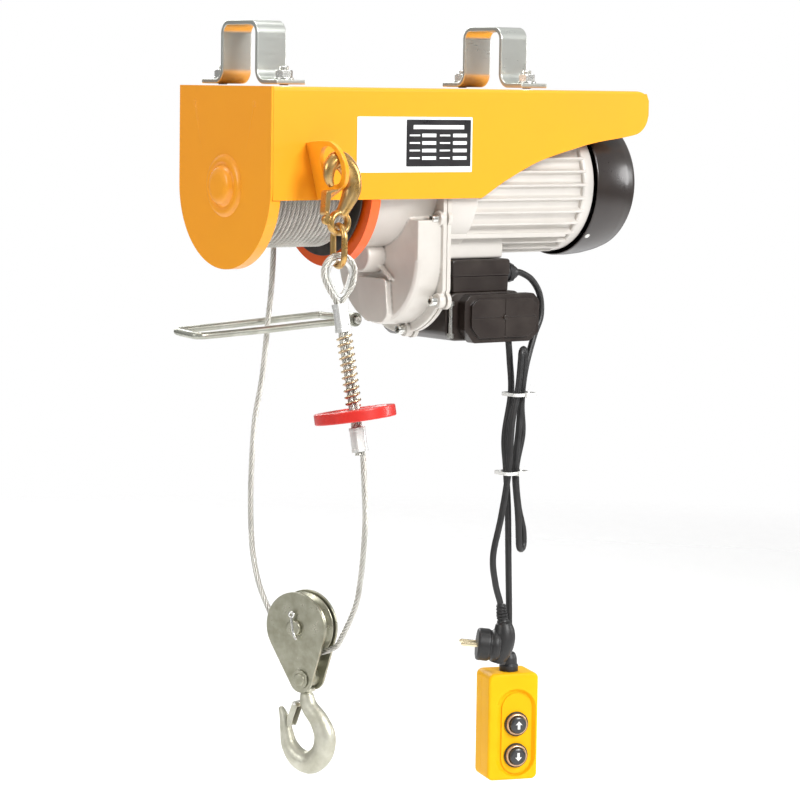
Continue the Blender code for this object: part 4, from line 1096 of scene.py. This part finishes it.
def build_electrics():
    lid = [(72, -255.4), (69.6, -258), (70.2, -274.5), (151.4, -274.5), (151.8, -258), (149.6, -255.4)]
    upper = prism("terminal_box_upper", softened(lid, 2), -52.4, 46.4, "Y")
    piece(upper, BLACK, nodes=["terminal_box"], bevel=1.6)
    lower = prism("terminal_box_lower",
                  softened([(71.6, -274.3), (72.4, -291.8), (149.6, -291.8), (150.6, -274.3)], 1.5), -51.2,
                  45.2, "Y")
    piece(lower, BLACK, bevel=1.4)
    case = [(72, -291.8), (60, -300), (60, -338), (70, -346), (162, -348), (172, -336), (172, -302),
            (160, -291.8)]
    body = prism("capacitor_case_body", softened(case, 4), -54, 66, "Y")
    piece(body, BLACK, nodes=["capacitor_case"], bevel=2.2)
    outline = [(86, -294), (77, -302), (77, -333), (90, -348.5), (170, -348.5), (183, -339), (184, -303),
               (175, -294)]
    cover = prism("capacitor_cover_body", softened(outline, 2.5), -66.5, -54.2, "Y")
    inner = [(132 + (x - 132) * 0.86, -321 + (z + 321) * 0.8) for x, z in outline]
    raised = prism("raised", softened(inner, 2.5), -70, -60, "Y")
    joined(cover, raised)
    cut(cover, box("groove", (84, -71, -320.5), (178, -69.3, -319.5)))
    cut(cover, box("groove", (131.4, -71, -342), (132.4, -69.3, -299)))
    piece(cover, BLACK, nodes=["capacitor_cover"], bevel=1.2, segments=3, sharp=34)
    centre = lathe("capacitor_centre_screw", [(-72, 0), (-72, 2.6), (-69.5, 3.4), (-69.5, 0)], 28, "Y",
                   (132, 0, -320), 0.5)
    piece(centre, BLACK)
    stay = rod("cover_stay", -340, -304, 2.2, 24, "Z", (64, -57.5, 0))
    ends = [rod("nut", low, low + 5, 4.2, 6, "Z", (64, -57.5, 0)) for low in (-342, -306)]
    piece(grouped(stay, *ends), BOLT_ZINC, bevel=0.3)
    profile = [(151.9, 0), (151.9, 9), (155, 9.2), (155.6, 10.6), (162, 10.6), (163, 8.6), (167, 7.4),
               (170, 5.2), (170, 0)]
    gland = lathe("box_gland_body", profile, 40, centre=(0, -40, -272), soft=0.7)
    piece(gland, GLAND, nodes=["box_gland"])
    for index in range(10):
        rib = box(f"gland_rib_{index}", (156.2, -0.9, 9.9), (161.6, 0.9, 11.1))
        piece(moved(spun(rib, 36 * index, "X"), 0, -40, -272), GLAND, bevel=0.3)


# Limit lever


def build_lever():
    front, rear = 42, 86
    route = [(-2, front, -327), (-60, front, -330), (-120, front, -333.5), (-190, front, -336.8)]
    corner = [(-202.5, front + 3, -337.2), (-206.5, front + 10, -337), (-208.5, rear - 9, -335.2),
              (-205, rear - 2, -334.6)]
    back = [(-196, rear, -334), (-120, rear, -329.5), (-24, rear, -323.6), (-14, rear - 6, -323.4),
            (-2, 62, -324.5)]
    bar = sweep("limit_lever_rod", smooth_route(route + corner + back, 10), 4, 20)
    hub = tube("hub", 37, 68, 4.5, 8, 40, "Y", (2, 0, -326), 0.8)
    piece(grouped(bar, hub), LEVER_ZINC, "limit_lever", ["limit_lever"], sharp=50)
    pin = rod("lever_pin", 32, 71, 4.2, 32, "Y", (2, 0, -326), 0.6)
    piece(pin, BOLT_ZINC)


# Anchor line


def tapered(route, per_span):
    radii = smooth_route([(r, 0, 0) for _, r in route], per_span)
    return smooth_route([p for p, _ in route], per_span), [v.x for v in radii]


def build_anchor_hook():
    y = -135
    route = [((-143.5, y, -199), 6), ((-137, y, -190), 7.5), ((-128.5, y, -172), 9.8),
             ((-131.5, y, -153), 10.2), ((-145.5, y, -140.6), 9.8), ((-156.5, y, -147.5), 7.5),
             ((-158.5, y, -159), 5.5), ((-155.5, y, -167), 3.6)]
    path, radii = tapered(route, 8)
    tip = path[-1] - path[-2]
    path += [path[-1] + tip.normalized() * d for d in (1.2, 2, 2.4)]
    radii += [3.1, 2.1, 0.8]
    hook = sweep("anchor_hook_body", path, radii, 28, up=Vector((0, 1, 0)))
    profile = [(y - 4.6, 9.4), (y - 5.2, 11), (y - 3.6, 13.6), (y + 3.6, 13.6), (y + 5.2, 11),
               (y + 4.6, 9.4), (y + 2.4, 7.6), (y - 2.4, 7.6)]
    eye = lathe("eye", profile, 56, "Y", (-144.5, 0, -207), 1.8)
    ear = rod("ear", y - 2.6, y + 2.6, 5.4, 28, "Y", (-160.5, 0, -203.5), 0.6)
    bridge = prism("bridge", [(-164, -200.5), (-150, -198.5), (-152, -212), (-162, -207)], y - 2.4, y + 2.4,
                   "Y")
    cut(hook, rod("hole", y - 20, y + 20, 7.6, 40, "Y", (-144.5, 0, -207)))
    joined(hook, eye, ear, bridge)
    cut(hook, rod("hole", y - 20, y + 20, 7.6, 40, "Y", (-144.5, 0, -207)))
    cast(hook, 0.55, 4)
    piece(hook, GOLD, nodes=["anchor_hook"], sharp=80)
    tongue = [(-164, -173.2), (-149.5, -171.4), (-149.5, -173.2), (-158, -175.4), (-160.4, -196),
              (-163, -199.6), (-166, -196)]
    latch = prism("anchor_latch_body", softened(tongue, 1.6), y - 5, y + 5, "Y")
    piece(latch, GOLD, "anchor_latch", ["anchor_latch"], bevel=0.5)
    pin = rod("anchor_latch_pin", y - 6.4, y + 6.4, 1.9, 24, "Y", (-163, 0, -196.6), 0.4)
    piece(pin, GOLD, "anchor_latch")


def build_link():
    wide = Vector((-0.145, -0.99, 0)).normalized()
    centre, length, width = Vector((-144.6, -135.2, -231)), 21.4, 13.2
    loop = []
    for i in range(72):
        a = 2 * math.pi * i / 72
        shift = (length - width) if math.sin(a) >= 0 else (width - length)
        loop.append(centre + wide * width * math.cos(a) + Vector((0, 0, width * math.sin(a) + shift)))
    loop = even_route(loop + [loop[0]], 1.6)[:-1]
    link = sweep("anchor_link_body", loop, 3.3, 24, closed=True, up=wide)
    piece(link, GOLD, nodes=["anchor_link"], sharp=60)


def build_anchor_fittings():
    thimble = eye_points(12.6, 24)
    thimble += [EYE_CENTRE + EYE_WIDE * -6.5 + Vector((0.6, 0, -16)), EYE_CENTRE + Vector((1.2, 0, -25)),
                EYE_CENTRE + EYE_WIDE * 7.5 + Vector((0.6, 0, -16))]
    path = smooth_route(thimble + [thimble[0]], 4)[:-1]
    piece(sweep("thimble_body", path, 2.2, 20, closed=True, up=Vector((0, 1, 0))), SLEEVE,
          nodes=["thimble"], sharp=60)
    inner = stadium(ROPE_D + 0.65, ROPE_D / 2 + 0.3)
    for name, along, half in (("upper", 0, 15), ("lower", 129.5, 13)):
        sleeve = prism(f"ferrule_{name}_body", stadium(ROPE_D + 3.5, ROPE_D / 2 + 3.3, 16), -half, half)
        cut(sleeve, prism("cutter", inner, -half - 5, half + 5))
        waist = prism("waist", stadium(ROPE_D + 6, ROPE_D / 2 + 6, 12), -half * 0.72, half * 0.72)
        cut(waist, prism("core", stadium(ROPE_D + 3.1, ROPE_D / 2 + 2.9, 16), -half - 5, half + 5))
        cut(sleeve, waist)
        turned(sleeve, line_matrix(along))
        piece(sleeve, SLEEVE, nodes=[f"ferrule_{name}"], bevel=0.5, segments=2)


def build_spring_and_disc():
    """The spring lies along the line from `start`."""
    turns, radius, start, length, steps = 11, 7.6, 17, 78, 26
    coil = []
    for i in range(turns * steps + 1):
        angle = 2 * math.pi * i / steps
        place = Vector((radius * math.cos(angle), radius * math.sin(angle), 0)) * MM
        coil.append(line_matrix(start + 1.2 + (length - 2.4) * i / (turns * steps)) @ place / MM)
    spring = sweep("buffer_spring_wire", coil, 1.2, 12)
    piece(spring, SPRING, nodes=["buffer_spring"], sharp=60)
    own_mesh(spring)
    profile = [(-5.6, 7.4), (-5.6, 14), (-4.6, 16), (-4.6, 33), (-6, 35), (-6, 42.8), (-5, 43.5), (5, 43.5),
               (6, 42.8), (6, 35), (4.6, 33), (4.6, 16), (5.6, 14), (5.6, 7.4)]
    disc = turned(lathe("stop_disc_body", profile, 112, "Z", soft=0.8), line_matrix(103))
    piece(disc, RED, "stop_disc", ["stop_disc"], sharp=60)


# Pulley block and hook


def block_matrix(origin=BLOCK_CENTRE, roll=BLOCK_ROLL):
    """Local X is the sheave's axis, Y points away from the anchor side, Z up, rolled with the block."""
    return frame_matrix(origin, BLOCK_AXIS, -BLOCK_SIDE, Vector((0, 0, 1))) @ Matrix.Rotation(roll, 4, "X")


def pear(big, small, drop):
    lean = math.degrees(math.asin((big - small) / drop))
    return arc((0, 0), big, -lean, 180 + lean, 56) + arc((0, -drop), small, 180 + lean, 360 - lean, 28)


def build_block():
    for side, low in (("front", -13), ("rear", 10)):
        cheek = prism(f"cheek_{side}_plate", pear(39, 15, PIN_DROP), low, low + 3, "X")
        for radius, drop in ((6.4, 0), (7.4, PIN_DROP)):
            cut(cheek, rod("hole", low - 3, low + 6, radius, 32, centre=(0, 0, -drop)))
        turned(cheek, block_matrix())
        piece(cheek, BLOCK_ZINC, nodes=[f"cheek_{side}"], bevel=0.6)
    half = [(8, 6.5), (8, 12), (5.6, 14), (5.2, 26), (8, 35.6), (7.4, 37), (6.4, 36.8), (3.4, 30.8),
            (1.6, 29.7)]
    profile = [(-x, r) for x, r in half] + [(x, r) for x, r in reversed(half)]
    sheave = turned(lathe("sheave_wheel", profile, 96, soft=0.5), block_matrix())
    piece(sheave, BLOCK_ZINC, "sheave", ["sheave"])
    profile = [(-18, 0), (-18, 8), (-17, 9), (-13.4, 9), (-13.4, 6.1), (13.4, 6.1), (13.4, 9), (16, 9),
               (17, 8), (17, 0)]
    axle = lathe("sheave_axle_body", profile, 56, soft=0.5)
    cut(axle, box("slot", (-19, -1.3, -9.5), (-16.4, 1.3, 9.5)))
    piece(turned(axle, block_matrix()), BLOCK_ZINC, nodes=["sheave_axle"], bevel=0.3,
          segments=2)
    leg = smooth_route([(-17.4, 0.6, 12), (-17.6, 0.4, 4), (-17.6, -0.4, -6), (-18.2, -4, -13)], 8)
    cotter = sweep("axle_cotter", leg, 1.5, 14)
    bend = [(-17.4, -0.6, 12), (-17.4, -3, 15), (-17.4, 0, 18), (-17.4, 3, 15), (-17.4, 0.6, 12)]
    grouped(cotter, sweep("loop", smooth_route(bend, 8), 1.4, 14))
    piece(turned(cotter, block_matrix()), BOLT_ZINC, sharp=60)
    place = block_matrix(HOOK_PIN, 0)
    half = [(-17, 0), (-17, 6), (-16, 7), (-9.6, 7), (-9.6, 10.5)]
    cross = lathe("crosshead_body", half + [(-x, r) for x, r in reversed(half)], 56, soft=0.5)
    cut(cross, rod("hole", -30, 30, 5.4, 32, "Z"))
    piece(turned(cross, place), BLOCK_ZINC, "crosshead", ["hook_crosshead"], bevel=0.4,
          segments=2)
    for index, x in enumerate((-14.6, 14.6)):
        ring = tube(f"crosshead_ring_{index}", x - 0.7, x + 0.7, 6.6, 10.4, 48, soft=0.3)
        piece(turned(ring, place), BLOCK_ZINC, "crosshead")


def build_load_hook():
    """Hook in the plane of local Y (to the rear side) and Z, hanging plumb under the crosshead."""
    route = [((0, 0, 9.8), 5), ((0, 0, -11), 5), ((0, 0, -20), 8), ((0, -4, -32), 9.6), ((0, -17, -46), 11),
             ((0, -25, -63), 12.4), ((0, -21, -82), 12.8), ((0, -6, -94), 12.8), ((0, 11, -91), 11.8),
             ((0, 23, -78), 9.6), ((0, 27.5, -62), 7.4), ((0, 31, -47), 5.4), ((0, 34.5, -39), 3.6)]
    path, radii = tapered(route, 7)
    tip = (path[-1] - path[-2]).normalized()
    path += [path[-1] + tip * d for d in (1.4, 2.4, 2.9)]
    radii += [3, 2, 0.7]
    hook = sweep("load_hook_body", path, radii, 32, up=Vector((1, 0, 0)), shape=hook_section)
    profile = [(10.9, 0), (10.9, 8.2), (12, 9.3), (16, 9.3), (17, 8.2), (17, 0)]
    nut = combined(rod("nut", 10.9, 17, 9.2, 6, "Z"), [lathe("cone", profile, 32, "Z")], "INTERSECT")
    collar = rod("collar", -14.5, -11.2, 8.6, 40, "Z", soft=0.5)
    joined(hook, rod("stem", 5, 16, 4.9, 24, "Z"), nut, collar)
    place = block_matrix(HOOK_PIN, 0)
    turned(hook, place)
    piece(hook, HOOK_ZINC, "load_hook", ["load_hook"], sharp=50)
    tongue = [(10.5, -28), (14.8, -27), (22.6, -48), (22.4, -56), (18.4, -56.5), (9.6, -33)]
    latch = prism("load_latch_body", softened(tongue, 1.6), -6, 6, "X")
    hollow = [(8.6, -35), (13.6, -30), (21.3, -48.4), (21, -58.5), (15.5, -58)]
    cut(latch, prism("hollow", hollow, -4.9, 4.9, "X"))
    piece(turned(latch, place), HOOK_ZINC, "load_latch", ["load_latch"], bevel=0.4, segments=2)
    pivot = rod("load_latch_pin", -7.6, 7.6, 2, 24, centre=(0, 12.2, -29.4), soft=0.4)
    piece(turned(pivot, place), BOLT_ZINC, "load_latch")


def hook_section(angle):
    """A forged section, flatter across than deep."""
    return 0.86 * math.cos(angle) * (1 - 0.06 * math.sin(angle)), math.sin(angle)


# Pendant


def tapered_cutter(name, first, first_y, second, second_y):
    """A solid between two (x, z) outlines of as many points, at two depths."""
    count = len(first)
    points = [(x, first_y, z) for x, z in first] + [(x, second_y, z) for x, z in second]
    faces = [list(range(count)), list(range(count, 2 * count))]
    faces += [[i, (i + 1) % count, count + (i + 1) % count, count + i] for i in range(count)]
    return solid(name, points, faces)


def shell_half(name, low, high, radius, edge, outward):
    """Half of the pendant's box, with its outer rim well rounded."""
    shell = prism(name, rounded(PENDANT_W / 2, PENDANT_H / 2, radius, 10), low, high, "Y")
    work = bmesh.new()
    work.from_mesh(shell.data)
    face = low if outward < 0 else high
    rim = [e for e in work.edges if all(abs(v.co.y / MM - face) < 0.01 for v in e.verts)]
    bmesh.ops.bevel(work, geom=rim, offset=edge * MM, segments=6, profile=0.6, affect="EDGES")
    work.to_mesh(shell.data)
    work.free()
    return shell


def build_pendant():
    w, d, h = PENDANT_W / 2, PENDANT_D / 2, PENDANT_H / 2
    place = pendant_matrix()
    front = shell_half("pendant_front_shell", -d, 2.8, 7, 4, -1)
    outer = [(x + BUTTON_X - 1, z - 7) for z, x in stadium(51, 24.6, 18)]
    inner = [(x + BUTTON_X + 0.2, z - 8) for z, x in stadium(48.6, 19.4, 18)]
    cut(front, tapered_cutter("panel", outer, -d - 0.2, inner, -d + 4.2))
    pad = prism("pad", [(x * 0.9 + BUTTON_X * 0.1, z * 0.96 - 0.3) for x, z in inner], -d + 2.4, -d + 6, "Y")
    joined(front, pad)
    for _, z in BUTTON_SPOTS:
        cut(front, rod("hole", -d - 5, -d + 14.5, 11.4, 40, "Y", (BUTTON_X, 0, z)))
    cut(front, rod("neck", h - 20, h + 9, 7, 24, "Z", (0, -4, 0)))
    piece(turned(front, place), PENDANT, nodes=["pendant_front"], bevel=0.5, segments=3)
    back = shell_half("pendant_back_shell", 3.3, d, 7, 4, 1)
    piece(turned(back, place), PENDANT, nodes=["pendant_back"], bevel=0.4, segments=2)
    seam = prism("pendant_seal", rounded(w - 1, h - 1, 6.2, 8), 2.4, 3.7, "Y")
    piece(turned(seam, place), GLAND)
    for name, z in BUTTON_SPOTS:
        profile = [(-d - 2.6, 9.95), (-d - 3.4, 10.8), (-d - 2.6, 12.2), (-d + 0.6, 12.9), (-d + 4.6, 12.9),
                   (-d + 4.6, 9.95)]
        ring = lathe(f"bezel_{name}", profile, 56, "Y", (BUTTON_X, 0, z), 0.5)
        piece(turned(ring, place), BEZEL, sharp=50)
        # painted shade: a dark ring round each bezel, standing in for the shadow in the gap round the button
        profile = [(-d - 0.6, 12.7), (-d - 0.6, 13.5), (-d + 0.2, 14.1), (-d + 4.2, 14.1), (-d + 4.2, 12.7)]
        collar = lathe(f"bezel_gap_shade_{name}", profile, 56, "Y", (BUTTON_X, 0, z), 0.4)
        piece(turned(collar, place), GLAND, sharp=50)
        profile = [(-d - 8, 0), (-d - 8, 7.4), (-d - 7.2, 9.2), (-d - 6.2, 9.75), (-d + 6, 9.75),
                   (-d + 6, 5), (-d + 8, 5), (-d + 8, 0)]
        cap = lathe(f"button_{name}_cap", profile, 56, "Y", (BUTTON_X, 0, z), 0.6)
        piece(turned(cap, place), BUTTON, f"button_{name}", [f"button_{name}"], sharp=50)
        sign = 1 if name == "up" else -1
        arrow = [(0, 4.8), (4, 0.6), (1.5, 0.6), (1.5, -4.6), (-1.5, -4.6), (-1.5, 0.6), (-4, 0.6)]
        mark = prism(f"arrow_{name}", [(BUTTON_X + x, z + sign * v) for x, v in arrow], -d - 8.3, -d - 7.9, "Y")
        piece(turned(mark, place), WHITE, f"button_{name}")
    contact = box("contact_block_body", (-13, -d + 16, -47), (21, 14, 17))
    piece(turned(contact, place), GLAND, nodes=["contact_block"], bevel=0.8)
    bore = CABLE_D / 2 + 0.3
    profile = [(h - 6, bore), (h - 6, 6.6), (h - 0.3, 6.6), (h - 0.3, 10.8), (h + 7, 10.8), (h + 8, 9.6),
               (h + 15, 9.2), (h + 20, 7.6), (h + 22, 5.4), (h + 22, bore)]
    gland = lathe("pendant_gland_body", profile, 48, "Z", (0, -4, 0), 0.9)
    piece(turned(gland, place), GLAND, nodes=["pendant_gland"])
    for index, (x, z) in enumerate(((-23, 54), (23, 54), (-23, -54), (23, -54))):
        profile = [(d - 1, 0), (d - 1, 3.2), (d + 0.3, 3), (d + 0.8, 1.8), (d + 0.9, 0)]
        screw = lathe(f"pendant_screw_{index}", profile, 28, "Y", (x, 0, z), 0.3)
        piece(turned(screw, place), BOLT_ZINC)


def dress_hidden_parts():
    """CAD parts inside the casings keep their shape and get their finish."""
    finishes = {"output_gear": STEEL, "layshaft": STEEL, "layshaft_wheel": STEEL, "rotor": STEEL,
                "stator": COPPER, "fan": GLAND, "motor_rear_shield": MOTOR_PAINT}
    for name, material in finishes.items():
        node = frame["nodes"][name]
        node.data.materials.clear()
        node.data.materials.append(material)


for build in (
    build_camera, build_world, build_lights, build_stage, build_ties, build_plug, build_cables,
    build_wire_rope, build_channel, build_left_plate, build_inner_plate, build_lug, build_straps,
    build_label, build_drum, build_housing, build_motor, build_fan_cover, build_electrics,
    build_lever, build_anchor_hook, build_link, build_anchor_fittings, build_spring_and_disc,
    build_block, build_load_hook, build_pendant, dress_hidden_parts,
):
    build()
